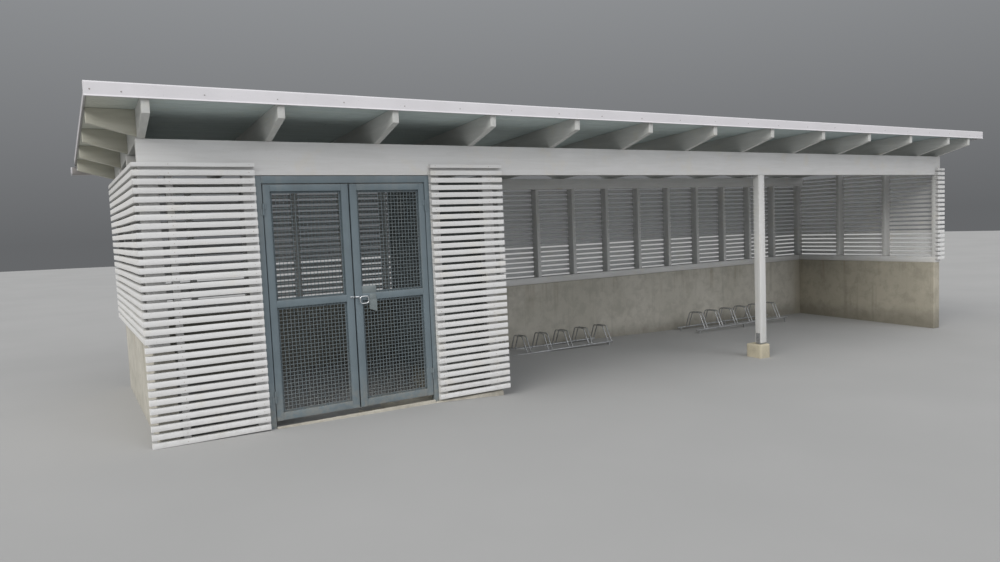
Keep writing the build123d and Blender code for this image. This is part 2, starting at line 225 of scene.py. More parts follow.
def painted_timber(name, base, shade, axis, dirt=0.5, rough=0.55, splash=True, grain=0.35, under=0.0, runs=1.0, deep=0.0,
                   left=None, right=None, outer=None, inside=None):
    """Opaque paint on sawn softwood: grain along the board, board to board tone, dirt on what faces up,
    grey water marks and splashed dirt low down; painted shade on undersides and deeper under the roof, painted warm
    light at the left end, painted shade towards the right and on inner and closed-room faces."""
    m = Net(name)
    g = m.noise(m.mapping(GRAIN[axis]), 1.0, 3.0, 0.6, 0.3)
    fig = m.noise(m.mapping(LONG[axis]), 2.2, 4.0, 0.6, 0.8)
    soft = m.noise(m.obj, 2.3, 4.0, 0.6)
    fine = m.noise(m.obj, 38.0, 3.0, 0.6)
    col = m.mix(m.ramp(fig, 0.35, 0.68), base, shade)
    out = m.ramp(m.xyz(m.nrm)[1], 0.10, 0.60) if outer else None
    if outer:
        # the faces that look out at the back take the plain white; the darker base left on the inner faces is painted
        # shade
        col = m.mix(out, col, m.mix(m.ramp(fig, 0.35, 0.68), *outer))
    tint = m.attr("tint")
    col = m.mix(m.ramp(tint, 0.0, 1.0, 0.0, 0.30, False), col, [c * 0.80 for c in base])
    warm = (base[0] * 0.97, base[1] * 0.93, base[2] * 0.84)
    col = m.mix(m.mul(m.ramp(m.noise(m.obj, 5.0, 3.0, 0.6), 0.52, 0.72), 0.40), col, warm)
    # knots that bleed through as faint yellow rings
    kn = m.voronoi(m.mapping(tuple(s * 0.7 for s in LONG[axis])), 1.0)
    kmask = m.mul(m.ramp(kn, 0.03, 0.11, 1.0, 0.0), m.ramp(soft, 0.48, 0.56), 0.42)
    col = m.mix(kmask, col, (base[0] * 0.78, base[1] * 0.66, base[2] * 0.45))
    # up-facing dirt and lichen
    nz = m.xyz(m.nrm)[2]
    up = m.mul(m.ramp(nz, 0.35, 0.95), m.ramp(m.noise(m.obj, 9.0, 5.0, 0.65), 0.34, 0.72, 0.15, 1.0), dirt)
    col = m.mix(up, col, (0.33, 0.335, 0.30))
    # grey runs down faces
    run = m.noise(m.mapping((7.0, 7.0, 0.55)), 1.0, 4.0, 0.6)
    col = m.mix(m.mul(m.ramp(run, 0.58, 0.80), (0.05 + 0.10 * dirt) * runs), col, (0.36, 0.36, 0.33))
    if splash:
        z = m.xyz(m.obj)[2]
        low = m.mul(m.ramp(z, 0.26, 0.62, 1.0, 0.0), m.ramp(m.noise(m.obj, 14.0, 5.0, 0.7), 0.38, 0.70), 0.22)
        col = m.mix(low, col, (0.34, 0.32, 0.28))
    speck = m.mul(m.ramp(m.noise(m.obj, 120.0, 2.0, 0.5), 0.67, 0.74), 0.30)
    col = m.mix(speck, col, (0.25, 0.24, 0.21))
    # painted shade: down-facing faces are darkened towards grey (under)
    if under:
        col = m.mix(m.ramp(nz, -0.95, -0.5, under, 0.0), col, (0.26, 0.265, 0.25))
    # painted shade: the colour darkens with distance behind the front tips, deeper under the roof (deep)
    if deep:
        col = m.mix(m.ramp(m.xyz(m.obj)[1], -1.70, -0.90, 0.0, deep), col, [c * 0.40 for c in base])
    # painted warm light: towards the left end the colour turns a darker warm beige (left)
    if left:
        col = m.mix(m.ramp(m.xyz(m.obj)[0], -6.0, -5.5, 0.75, 0.0), col, left)
    # painted shade: the colour darkens towards the right end (right); when outer is given, only on the inner faces
    if right:
        side = m.ramp(m.xyz(m.obj)[0], 0.0, 5.0, 0.0, right[0])
        if outer:
            side = m.mul(side, m.math("SUBTRACT", 1.0, out))
        col = m.mix(side, col, right[1])
    if inside:
        # painted shade: the face that looks into the closed room goes a uniform dark
        col = m.mix(m.ramp(m.xyz(m.nrm)[0], 0.15, 0.45, 0.85, 0.0), col, inside)
    h = m.math("ADD", m.mul(g, grain), m.mul(fig, 0.5))
    nrm = m.bump(h, 0.45, 0.0011)
    nrm = m.bump(fine, 0.25, 0.0010, nrm)
    r = m.math("ADD", m.ramp(g, 0.3, 0.7, rough - 0.06, rough + 0.08), m.mul(up, 0.3))
    return m.finish(col, r, 0.0, nrm, 0.4)


WHITE = (0.83, 0.825, 0.82)
WSHADE = (0.78, 0.775, 0.765)
ROOFW, ROOFS = (0.68, 0.685, 0.66), (0.60, 0.605, 0.58)
# painted shade: the soffit's grey-green is a darkened copy of the white roof paint
INNER, INNERS = (0.54, 0.62, 0.61), (0.47, 0.545, 0.535)
# painted shade on the slats' undersides (under)
mat_slat_x = painted_timber("slat_paint_x", WHITE, WSHADE, "x", under=0.5)
mat_slat_y = painted_timber("slat_paint_y", WHITE, WSHADE, "y", under=0.5)
# painted shade: the back slats' inner faces take a darker copy of the white, darker still towards the right and on
# their undersides; their outer faces keep the plain white
mat_slat_back = painted_timber("slat_paint_back_painted_shade", (0.64, 0.645, 0.65), (0.58, 0.585, 0.59), "x", 0.6, under=0.5, right=(0.45, (0.33, 0.345, 0.33)),
                               outer=(WHITE, WSHADE))
# painted shade on the beam's underside (under)
mat_beam = painted_timber("beam_paint_x", (0.80, 0.795, 0.79), (0.75, 0.745, 0.735), "x", 0.3, under=0.6, runs=0.6)
mat_stud_back = painted_timber("stud_paint_back", (0.74, 0.74, 0.735), (0.68, 0.68, 0.67), "z", 0.4)
mat_timber_x = painted_timber("timber_paint_x", (0.76, 0.755, 0.75), (0.69, 0.685, 0.675), "x", 0.35)
mat_timber_y = painted_timber("timber_paint_y", (0.76, 0.755, 0.75), (0.69, 0.685, 0.675), "y", 0.35)
mat_timber_z = painted_timber("timber_paint_z", (0.76, 0.755, 0.745), (0.69, 0.685, 0.67), "z", 0.35)
# painted shade: the rafters darken deeper under the roof (deep) and on their undersides (under)
mat_rafter = painted_timber("rafter_paint_y_painted_shade", ROOFW, ROOFS, "y", 0.2, 0.6, False, under=0.12, deep=0.32)
# painted warm light and shade: the outriggers take a darker, yellowish copy of the roof paint, with painted shade on
# their undersides
mat_outrigger = painted_timber("outrigger_paint_painted_warm_light_and_shade", (0.57, 0.56, 0.48), (0.51, 0.50, 0.42), "x", 0.2, 0.6, False, under=0.12)
# soffit: painted warm light at the left end, and painted shade, darker and bluer, towards the right
mat_soffit = painted_timber("soffit_paint_painted_shade", INNER, INNERS, "x", 0.2, 0.62, False, left=(0.50, 0.49, 0.41), right=(0.5, (0.27, 0.34, 0.37)))
# painted shade: the boards' face to the closed room is a uniform dark (inside)
mat_inner_y = painted_timber("partition_paint_y_room_shade", (0.64, 0.645, 0.64), (0.58, 0.585, 0.58), "y", 0.3, 0.6, inside=(0.20, 0.23, 0.232))
mat_inner_z = painted_timber("partition_paint_z", (0.68, 0.68, 0.675), (0.62, 0.62, 0.61), "z", 0.3, 0.6)


def cast_concrete(name, light, dark, stain=0.5, panel=1.25, damp=0.55, room=False):
    m = Net(name)
    big = m.noise(m.obj, 0.9, 4.0, 0.6, 0.5)
    mid = m.noise(m.obj, 6.5, 6.0, 0.62, 0.3)
    fine = m.noise(m.obj, 70.0, 5.0, 0.65)
    grit = m.noise(m.obj, 420.0, 2.0, 0.6)
    col = m.mix(m.ramp(big, 0.35, 0.66), light, dark)
    col = m.mix(m.mul(m.ramp(mid, 0.42, 0.66), 0.45), col, [c * 0.72 for c in dark])
    col = m.mix(m.mul(m.ramp(fine, 0.45, 0.7), 0.22), col, [min(1.0, c * 1.25) for c in light])
    # form joints and faint board edges
    x, y, z = m.xyz(m.obj)
    s = m.math("ADD", x, m.math("MULTIPLY", y, 1.0))
    fr = m.math("FRACT", m.math("DIVIDE", s, panel))
    joint = m.ramp(m.math("ABSOLUTE", m.math("SUBTRACT", fr, 0.5)), 0.0, 0.0030, 1.0, 0.0)
    col = m.mix(m.mul(joint, 0.35), col, [c * 0.5 for c in dark])
    # brown and grey water runs from the top
    run = m.noise(m.mapping((5.0, 5.0, 0.35)), 1.0, 5.0, 0.6)
    top = m.ramp(z, 0.45, 1.05)
    brown = m.mul(m.ramp(run, 0.53, 0.70), top, stain)
    col = m.mix(brown, col, (0.22, 0.165, 0.10))
    run2 = m.noise(m.mapping((11.0, 11.0, 0.7), (3.0, 1.0, 0.0)), 1.0, 4.0, 0.6)
    col = m.mix(m.mul(m.ramp(run2, 0.55, 0.75), 0.35), col, [c * 0.55 for c in dark])
    # damp, dirty foot
    wob = m.math("ADD", z, m.mul(m.noise(m.obj, 3.0, 4.0, 0.6), 0.16))
    foot = m.ramp(wob, 0.16, 0.46, 1.0, 0.0)
    col = m.mix(m.mul(foot, damp), col, (0.16, 0.15, 0.12))
    if room:
        # painted shade: the closed room's inside is darkened
        inside = m.mul(m.ramp(x, -5.53, -5.50), m.ramp(x, -2.62, -2.55, 1.0, 0.0), m.ramp(y, 1.190, 1.200, 1.0, 0.0), 0.6)
        col = m.mix(inside, col, (0.13, 0.13, 0.11))
        # painted shade: the far corner takes the right wall's darker, browner tone
        col = m.mix(m.ramp(x, 5.30, 5.56, 0.0, 0.7), col, (0.42, 0.385, 0.305))
    # blow holes, their dark fill painted shade in the hollows
    v = m.voronoi(m.obj, 34.0)
    gate = m.ramp(m.noise(m.obj, 7.0, 2.0, 0.5), 0.50, 0.60)
    hole = m.mul(m.ramp(v, 0.03, 0.11, 1.0, 0.0), gate)
    col = m.mix(m.mul(hole, 0.7), col, [c * 0.35 for c in dark])
    h = m.math("SUBTRACT", m.math("ADD", m.mul(mid, 0.6), m.mul(fine, 0.35)), m.mul(hole, 0.9))
    h = m.math("SUBTRACT", h, m.mul(joint, 0.6))
    nrm = m.bump(h, 0.55, 0.0030)
    nrm = m.bump(grit, 0.30, 0.0008, nrm)
    return m.finish(col, m.ramp(mid, 0.3, 0.7, 0.78, 0.93), 0.0, nrm, 0.35)


# room=True adds painted shade inside the closed room and at the far corner
mat_concrete = cast_concrete("cast_concrete", (0.56, 0.535, 0.475), (0.48, 0.46, 0.40), 0.38, room=True)
# the right wall: heavier brown stains, on a darker, browner base that is painted shade
mat_concrete_r = cast_concrete("cast_concrete_stained_and_shaded", (0.47, 0.435, 0.355), (0.395, 0.365, 0.295), 0.5)
mat_slab = cast_concrete("floor_concrete", (0.60, 0.565, 0.485), (0.50, 0.47, 0.40), 0.15, 2.4, 0.06)
mat_block = cast_concrete("block_concrete", (0.66, 0.60, 0.46), (0.56, 0.505, 0.38), 0.1, 50.0, 0.10)


def coated_sheet(name, base, under=0.5, left=None):
    """White coated sheet metal: very even, faint run marks, painted shade on down-facing faces, and a painted-shade
    left end when left is given.
    """
    m = Net(name)
    soft = m.noise(m.obj, 1.7, 3.0, 0.55)
    col = m.mix(m.ramp(soft, 0.35, 0.65), base, [c * 0.95 for c in base])
    run = m.noise(m.mapping((16.0, 16.0, 0.8)), 1.0, 4.0, 0.6)
    col = m.mix(m.mul(m.ramp(run, 0.58, 0.82), 0.10), col, (0.46, 0.45, 0.42))
    nz = m.xyz(m.nrm)[2]
    up = m.mul(m.ramp(nz, 0.7, 0.95), m.ramp(m.noise(m.obj, 6.0, 5.0, 0.65), 0.30, 0.68, 0.15, 1.0), 0.5)
    col = m.mix(up, col, (0.33, 0.33, 0.29))
    speck = m.mul(m.ramp(m.noise(m.obj, 90.0, 2.0, 0.5), 0.68, 0.76), 0.35)
    col = m.mix(speck, col, (0.30, 0.28, 0.24))
    # painted shade: down-facing faces are darkened (under)
    col = m.mix(m.ramp(nz, -0.95, -0.5, under, 0.0), col, (0.20, 0.20, 0.19))
    # painted shade: the left end darkens to a dull grey-brown (left)
    if left:
        col = m.mix(m.ramp(m.xyz(m.obj)[0], -6.0, -5.2, 0.9, 0.0), col, left)
    wave = m.noise(m.mapping((1.1, 1.1, 6.0)), 1.0, 2.0, 0.5)
    nrm = m.bump(wave, 0.25, 0.004)
    return m.finish(col, m.ramp(soft, 0.3, 0.7, 0.36, 0.48), 0.0, nrm, 0.5)


# painted shade on the fascia's down-facing faces (under defaults to 0.5)
mat_fascia = coated_sheet("coated_sheet_white", (0.78, 0.76, 0.785))
# painted shade: the verges take a duller copy of the white sheet, and their undersides go dark
mat_verge = coated_sheet("coated_sheet_verge_painted_shade", (0.62, 0.60, 0.62), 0.85)
# painted shade at the gutter's left end, darker undersides too
mat_gutter = coated_sheet("coated_sheet_gutter_painted_shade", (0.66, 0.64, 0.65), 0.3, left=(0.34, 0.315, 0.305))


def enamel(name, base, rough=0.42, rust=0.35):
    """Blue-grey gloss paint on steel, dusty low down, with rust where it is chipped."""
    m = Net(name)
    soft = m.noise(m.obj, 3.0, 4.0, 0.6)
    peel = m.noise(m.obj, 420.0, 2.0, 0.5)
    col = m.mix(m.ramp(soft, 0.35, 0.68), base, [c * 0.86 for c in base])
    col = m.mix(m.mul(m.ramp(m.noise(m.mapping((10.0, 10.0, 0.6)), 1.0, 4.0, 0.6), 0.52, 0.75), 0.30), col, (0.27, 0.275, 0.26))
    nz = m.xyz(m.nrm)[2]
    up = m.mul(m.ramp(nz, 0.4, 0.9), m.ramp(m.noise(m.obj, 12.0, 4.0, 0.6), 0.3, 0.7, 0.3, 1.0), 0.55)
    col = m.mix(up, col, (0.33, 0.32, 0.28))
    z = m.xyz(m.obj)[2]
    low = m.mul(m.ramp(z, 0.25, 0.75, 1.0, 0.0), m.ramp(m.noise(m.obj, 16.0, 5.0, 0.7), 0.32, 0.68), 0.55)
    col = m.mix(low, col, (0.30, 0.285, 0.245))
    chips = m.mul(m.ramp(m.noise(m.obj, 55.0, 4.0, 0.7), 0.665, 0.70), m.ramp(m.noise(m.obj, 4.0, 2.0, 0.5), 0.45, 0.6), rust)
    col = m.mix(chips, col, (0.17, 0.075, 0.03))
    nrm = m.bump(peel, 0.12, 0.0005)
    nrm = m.bump(soft, 0.20, 0.0015, nrm)
    r = m.math("ADD", m.ramp(soft, 0.3, 0.7, rough - 0.05, rough + 0.06), m.mul(low, 0.35))
    return m.finish(col, r, 0.0, nrm, 0.5)


mat_door = enamel("door_enamel", (0.165, 0.210, 0.235))
mat_lock = enamel("lock_enamel", (0.215, 0.250, 0.255), 0.45, 0.5)
mat_mesh = enamel("mesh_enamel", (0.175, 0.215, 0.235), 0.45, 0.5)


def galvanised(name, base=(0.50, 0.51, 0.52), rough=0.42, metallic=0.85):
    m = Net(name)
    sp = m.voronoi(m.obj, 95.0, out="Color")
    v = m.xyz(sp)[0]
    col = m.mix(m.ramp(v, 0.0, 1.0, 0.0, 1.0, False), [c * 0.82 for c in base], [min(1.0, c * 1.15) for c in base])
    dull = m.noise(m.obj, 7.0, 5.0, 0.65)
    col = m.mix(m.mul(m.ramp(dull, 0.42, 0.66), 0.55), col, (0.30, 0.30, 0.29))
    rust = m.mul(m.ramp(m.noise(m.obj, 26.0, 5.0, 0.7), 0.64, 0.72), 0.6)
    col = m.mix(rust, col, (0.20, 0.10, 0.05))
    nrm = m.bump(dull, 0.2, 0.0008)
    return m.finish(col, m.ramp(dull, 0.3, 0.7, rough - 0.05, rough + 0.18), metallic, nrm, 0.5)


mat_galv = galvanised("galvanised_steel")
mat_case = galvanised("lock_steel", (0.40, 0.43, 0.45), 0.38, 0.6)


def bright_metal(name, base, rough):
    m = Net(name)
    s = m.noise(m.mapping((40.0, 400.0, 40.0)), 1.0, 3.0, 0.6)
    w = m.noise(m.obj, 60.0, 4.0, 0.6)
    col = m.mix(m.mul(m.ramp(w, 0.52, 0.7), 0.35), base, [c * 0.55 for c in base])
    nrm = m.bump(s, 0.1, 0.0003)
    return m.finish(col, m.ramp(w, 0.3, 0.7, rough, rough + 0.16), 1.0, nrm, 0.5)


mat_chrome = bright_metal("polished_steel", (0.80, 0.81, 0.82), 0.13)


def screw_metal(name, clean, rusty, metallic):
    m = Net(name)
    w = m.noise(m.obj, 55.0, 4.0, 0.65)
    col = m.mix(m.ramp(w, 0.36, 0.60), clean, rusty)
    return m.finish(col, 0.62, metallic, m.bump(w, 0.3, 0.0004), 0.4)


mat_screw = screw_metal("painted_nail_heads", (0.70, 0.69, 0.67), (0.44, 0.38, 0.31), 0.05)
mat_cap = screw_metal("dull_screw_caps", (0.50, 0.49, 0.49), (0.33, 0.30, 0.28), 0.15)


def roofing():
    m = Net("mineral_felt")
    g = m.noise(m.obj, 520.0, 2.0, 0.6)
    mid = m.noise(m.obj, 5.0, 5.0, 0.65)
    big = m.noise(m.obj, 0.7, 3.0, 0.6)
    col = m.mix(m.ramp(g, 0.35, 0.66), (0.045, 0.046, 0.050), (0.125, 0.125, 0.128))
    col = m.mix(m.mul(m.ramp(mid, 0.50, 0.72), 0.5), col, (0.115, 0.12, 0.085))
    col = m.mix(m.mul(m.ramp(big, 0.50, 0.72), 0.4), col, (0.20, 0.195, 0.18))
    nrm = m.bump(g, 0.6, 0.0015)
    nrm = m.bump(mid, 0.35, 0.006, nrm)
    return m.finish(col, 0.92, 0.0, nrm, 0.3)


mat_felt = roofing()


# ------------------------------------------------------------------ mesh making
class Soup:
    """Collects closed rounded bars, discs and profiles into one mesh, in layout millimetres."""

    def __init__(self, seed=1):
        self.v, self.f, self.tint, self.smooth = [], [], [], []
        self.rnd = random.Random(seed)

    def add(self, verts, faces, tint, smooth=True):
        o = len(self.v)
        self.v.extend(verts)
        self.tint.extend([tint] * len(verts))
        for f in faces:
            self.f.append(tuple(i + o for i in f))
            self.smooth.append(smooth and len(f) == 4)

    def loft(self, rings, tint=None, smooth=True):
        """Closed solid through equal rings of points."""
        n = len(rings[0])
        verts = [p for r in rings for p in r]
        faces = [tuple(reversed(range(n)))]
        for k in range(len(rings) - 1):
            a, b = k * n, (k + 1) * n
            for i in range(n):
                j = (i + 1) % n
                faces.append((a + i, a + j, b + j, b + i))
        faces.append(tuple((len(rings) - 1) * n + i for i in range(n)))
        self.add(verts, faces, self.rnd.random() if tint is None else tint, smooth)

    def bar(self, axis, s0, s1, a0, a1, b0, b1, r=3.0, n=2, m0=0.0, m1=0.0, aref=0.0, step=700.0,
            bow=0.0, shear=0.0, tint=None, jit=None, endr=None, twist=0.0):
        """A bar along axis with rounded edges. m0 and m1 slope its ends across a; shear tips b with a."""
        pts = []
        for ca, cb, t0 in ((a1 - r, b0 + r, -90), (a1 - r, b1 - r, 0), (a0 + r, b1 - r, 90), (a0 + r, b0 + r, 180)):
            for k in range(n + 1):
                t = math.radians(t0 + 90.0 * k / n)
                pts.append((ca + r * math.cos(t), cb + r * math.sin(t)))
        e = min(r * 0.55 if endr is None else endr, abs(s1 - s0) / 4)
        cnt = max(1, int(round(abs(s1 - s0) / step)))
        st = [(s0, e), (s0 + e, 0.0)]
        st += [(s0 + e + (s1 - s0 - 2 * e) * k / cnt, 0.0) for k in range(1, cnt)]
        st += [(s1 - e, 0.0), (s1, e)]
        ca, cb = (a0 + a1) / 2, (b0 + b1) / 2
        ph, ph2 = self.rnd.random() * 6.28, self.rnd.random() * 6.28
        rings = []
        for s, ins in st:
            t = (s - s0) / (s1 - s0)
            ka = (a1 - a0 - 2 * ins) / (a1 - a0)
            kb = (b1 - b0 - 2 * ins) / (b1 - b0)
            db = bow * math.sin(2.6 * t * math.pi + ph)
            dt = twist * math.sin(2.0 * t + ph2)
            ring = []
            for i, (a, b) in enumerate(pts):
                pa, pb = ca + (a - ca) * ka, cb + (b - cb) * kb
                pb += db + dt * (pa - ca)
                if jit:
                    ja, jb = jit(s, i, pa, pb)
                    pa, pb = pa + ja, pb + jb
                ss = s + (m0 * (1 - t) + m1 * t) * (pa - aref)
                pb += shear * (pa - aref)
                ring.append((ss, pa, pb) if axis == "x" else (pa, ss, pb) if axis == "y" else (pa, pb, ss))
            rings.append(ring)
        self.loft(rings, tint)

    def profile(self, pts, x0, x1, axis="x", tint=0.3, step=1e9):
        """A polygon in (a, b) drawn along an axis: closed solid with flat faces."""
        cnt = max(1, int(round(abs(x1 - x0) / step)))
        rings = []
        for k in range(cnt + 1):
            s = x0 + (x1 - x0) * k / cnt
            rings.append([(s, a, b) if axis == "x" else (a, s, b) if axis == "y" else (a, b, s) for a, b in pts])
        self.loft(rings, tint, False)

    def disc(self, c, normal, r, h, sides=10, dome=0.35, tint=0.5):
        """A low domed head standing on a face at c; normal is an axis letter with a sign."""
        ax, sg = normal[1], 1.0 if normal[0] == "+" else -1.0
        u, w = {"x": (1, 2), "y": (0, 2), "z": (0, 1)}[ax]
        k = {"x": 0, "y": 1, "z": 2}[ax]
        rings = []
        for rr, hh in ((r, -0.4), (r, h * 0.45), (r * (1 - dome), h)):
            ring = []
            for i in range(sides):
                t = 6.28318 * i / sides
                p = list(c)
                p[u] += rr * math.cos(t)
                p[w] += rr * math.sin(t)
                p[k] += sg * hh
                ring.append(tuple(p))
            rings.append(ring)
        self.loft(rings, tint)

    def tube(self, path, r, sides=10, tint=0.5, caps=True):
        """A round bar along a list of points."""
        rings = []
        pv = [Vector(p) for p in path]
        up = None
        for i, p in enumerate(pv):
            d = (pv[min(i + 1, len(pv) - 1)] - pv[max(i - 1, 0)]).normalized()
            if up is None:
                up = Vector((0, 0, 1)) if abs(d.z) < 0.9 else Vector((1, 0, 0))
            s = d.cross(up).normalized()
            up = s.cross(d).normalized()
            rings.append([tuple(p + s * (r * math.cos(6.28318 * k / sides)) + up * (r * math.sin(6.28318 * k / sides)))
                          for k in range(sides)])
        self.loft(rings, tint)

    def make(self, name, mat, slot, body="shelter", replaces=(), auto=35.0, bevel=0.0, seg=2):
        me = bpy.data.meshes.new(name)
        me.from_pydata([world(*p) for p in self.v], [], self.f)
        at = me.attributes.new("tint", "FLOAT", "POINT")
        at.data.foreach_set("value", self.tint)
        me.update()
        bm = bmesh.new()
        bm.from_mesh(me)
        bmesh.ops.recalc_face_normals(bm, faces=bm.faces)
        if bevel:
            sharp = [e for e in bm.edges if len(e.link_faces) == 2 and e.calc_face_angle(0.0) > math.radians(20)]
            bmesh.ops.bevel(bm, geom=sharp, offset=bevel / 1000.0, offset_type="OFFSET", segments=seg, profile=0.5,
                            affect="EDGES", clamp_overlap=True)
        for f in bm.faces:
            f.smooth = True
        for e in bm.edges:
            if len(e.link_faces) == 2 and e.calc_face_angle(0.0) > math.radians(auto):
                e.smooth = False
        bm.to_mesh(me)
        bm.free()
        me.materials.append(mat)
        ob = bpy.data.objects.new(name, me)
        bpy.context.scene.collection.objects.link(ob)
        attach(ob, body)
        if replaces:
            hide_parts(*replaces)
        return ob


def eased(node, mat, r=4.0, seg=2, body="shelter"):
    """The node's own solid with its sharp arrises eased."""
    bm = bmesh.new()
    bm.from_mesh(nodes[node].data)
    bmesh.ops.remove_doubles(bm, verts=bm.verts, dist=2e-5)
    bmesh.ops.dissolve_limit(bm, angle_limit=math.radians(1.0), verts=bm.verts, edges=bm.edges)
    edges = [e for e in bm.edges if len(e.link_faces) == 2 and e.calc_face_angle(0.0) > math.radians(20)]
    bmesh.ops.bevel(bm, geom=edges, offset=r / 1000.0, offset_type="OFFSET", segments=seg, profile=0.5,
                    affect="EDGES", clamp_overlap=True)
    bmesh.ops.recalc_face_normals(bm, faces=bm.faces)
    tint = bm.verts.layers.float.new("tint")
    rnd = random.Random(len(node) * 17 + 3)
    seen = set()
    for v in bm.verts:
        if v.index in seen:
            continue
        val, stack = rnd.random(), [v]
        while stack:
            q = stack.pop()
            if q.index in seen:
                continue
            seen.add(q.index)
            q[tint] = val
            stack.extend(e.other_vert(q) for e in q.link_edges)
    for f in bm.faces:
        f.smooth = True
    for e in bm.edges:
        if len(e.link_faces) == 2 and e.calc_face_angle(0.0) > math.radians(50):
            e.smooth = False
    me = bpy.data.meshes.new(node + "_eased")
    bm.to_mesh(me)
    bm.free()
    me.materials.append(mat)
    ob = bpy.data.objects.new(node + "_eased", me)
    bpy.context.scene.collection.objects.link(ob)
    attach(ob, body)
    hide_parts(node)
    return ob


# ------------------------------------------------------------------ slats
S0, S1 = SLAT, SLAT + STUD_D
back_x = [10720.0 - 650.0 * i for i in range(12)]
back_x = sorted([x for x in back_x if x > 3400.0] + [3128.0, 2580.0, 1980.0, 1380.0, 780.0])
side_y = [75.0, 900.0, 1745.0, DEPTH - 120.0]


def zz(i):
    return i * PITCH, i * PITCH + (TOP_SLAT if i == N_FULL - 1 else SLAT)


screws = Soup(5)
rs = random.Random(12)


def nail(x, y, z, normal):
    screws.disc((x + rs.uniform(-5, 5) * (normal[1] != "x"), y + rs.uniform(-5, 5) * (normal[1] != "y"), z + rs.uniform(-4, 4)),
                normal, 3.6, 0.7, 8)


fl = Soup(21)
for i in range(N_FULL):
    a, b = zz(i)
    gap = rs.uniform(0.2, 1.3)
    end = PANEL_X1 - rs.uniform(0.0, 2.5)
    if i in UPPER:
        fl.bar("x", gap, end, 0, SLAT, a, b, 3.2, 2, m0=1.0, aref=0.0, bow=0.6, step=300)
    else:
        fl.bar("x", rs.uniform(0, 1.5), end, 0, SLAT, a, b, 3.2, 2, bow=0.6, step=300)
    for x in (269.0, PANEL_X1 - 45.0):
        nail(x, 0.0, (a + b) / 2, "-y")
fl.make("front_left_slat_boards", mat_slat_x, "white_timber", replaces=["front_left_slats"])

fr = Soup(22)
for i in range(N_FULL):
    a, b = zz(i)
    fr.bar("x", PANEL2[0] + rs.uniform(0, 2), PANEL2[1] - rs.uniform(0, 3), 0, SLAT, a, b, 3.2, 2, bow=0.6, step=300)
    for x in (PANEL2[0] + 50.0, 3205.0):
        nail(x, 0.0, (a + b) / 2, "-y")
fr.make("front_right_slat_boards", mat_slat_x, "white_timber", replaces=["front_right_slats"])

lf = Soup(23)
for i in UPPER:
    a, b = zz(i)
    lf.bar("y", rs.uniform(0.2, 1.3), DEPTH - SLAT - rs.uniform(0.3, 1.5), 0, SLAT, a, b, 3.2, 2, m0=1.0, aref=0.0, bow=1.0, step=450)
    for y in side_y:
        nail(0.0, y, (a + b) / 2, "-x")
lf.make("left_slat_boards", mat_slat_y, "white_timber", replaces=["left_slats"])

rt = Soup(24)
for i in UPPER:
    a, b = zz(i)
    rt.bar("y", rs.uniform(0.2, 1.3), DEPTH - SLAT - rs.uniform(0.3, 1.5), LENGTH - SLAT, LENGTH, a, b, 3.2, 2, m0=-1.0,
           aref=LENGTH, bow=1.0, step=450)
    for y in side_y:
        nail(LENGTH, y, (a + b) / 2, "+x")
rt.make("right_slat_boards", mat_slat_y, "white_timber", replaces=["right_slats"])

rc = Soup(25)
for i in UPPER:
    a, b = zz(i)
    rc.bar("x", RETURN_X + rs.uniform(0, 2), LENGTH - rs.uniform(0.2, 1.3), 0, SLAT, a, b, 3.2, 2, m1=-1.0, aref=0.0, step=300)
    nail(RETURN_X + 95.0, 0.0, (a + b) / 2, "-y")
rc.make("right_corner_slat_boards", mat_slat_x, "white_timber", replaces=["right_corner_slats"])

bk = Soup(26)
cuts = [[k for k in back_x if lo < k < hi] for lo, hi in ((3100, 5200), (6900, 9100))]
for i in UPPER:
    a, b = zz(i)
    stops = [1.0, cuts[0][i % len(cuts[0])], cuts[1][(i * 2 + 1) % len(cuts[1])], LENGTH - 1.0]
    for k in range(3):
        bk.bar("x", stops[k] + 0.8, stops[k + 1] - 0.8, DEPTH - SLAT, DEPTH, a, b, 3.2, 2, bow=1.1, step=700)
    for x in back_x + [95.0, LENGTH - 95.0]:
        nail(x + (12 if x in stops else 0), DEPTH, (a + b) / 2, "+y")
bk.make("back_slat_boards", mat_slat_back, "white_timber", replaces=["back_slats"])

# ------------------------------------------------------------------ framing
eased("left_sill", mat_timber_y, 4)
eased("right_sill", mat_timber_y, 4)
eased("back_sill", mat_timber_x, 4)
eased("left_studs", mat_timber_z, 4)
eased("right_studs", mat_timber_z, 4)
eased("back_studs", mat_stud_back, 4)
eased("front_beam", mat_beam, 4)
eased("back_beam", mat_timber_x, 4)
eased("left_panel_posts", mat_timber_z, 4)
eased("right_panel_posts", mat_timber_z, 4)
eased("bay_post", mat_timber_z, 5)
eased("rafters_left", mat_rafter, 4)
eased("rafters_middle", mat_rafter, 4)
eased("rafters_right", mat_rafter, 4)
eased("left_outriggers", mat_outrigger, 4)
eased("right_outriggers", mat_outrigger, 4)
eased("back_fascia", mat_timber_x, 3)
eased("partition_studs", mat_inner_z, 3)

pb = Soup(31)
z = -18.0
while z < BEAM_Z0 - 5:
    z1 = min(z + 145.0, BEAM_Z0)
    pb.bar("y", 137.0, 2510.0, 3150.0, 3172.0, z + 0.6, z1 - 0.6, 4.0, 2, step=800)
    z = z1
pb.make("partition_cladding", mat_inner_y, "inner_timber", replaces=["partition_boards"])

# ------------------------------------------------------------------ concrete
eased("left_concrete_wall", mat_concrete, 7, 3)
eased("right_concrete_wall", mat_concrete_r, 7, 3)
eased("back_concrete_wall", mat_concrete, 7, 3)

slab = Soup(33)
rj = random.Random(8)
chips = {}


def slab_edge(s, i, a, b):
    """The front arris was cast against the ground: it wanders a few millimetres, always inwards."""
    k = (round(s, 1), i)
    if k not in chips:
        chips[k] = (rj.uniform(0, 7) if a < 60 else 0.0, -rj.uniform(0, 3.5) if (a < 60 and b > -60) else 0.0)
    return chips[k]


lips = {}


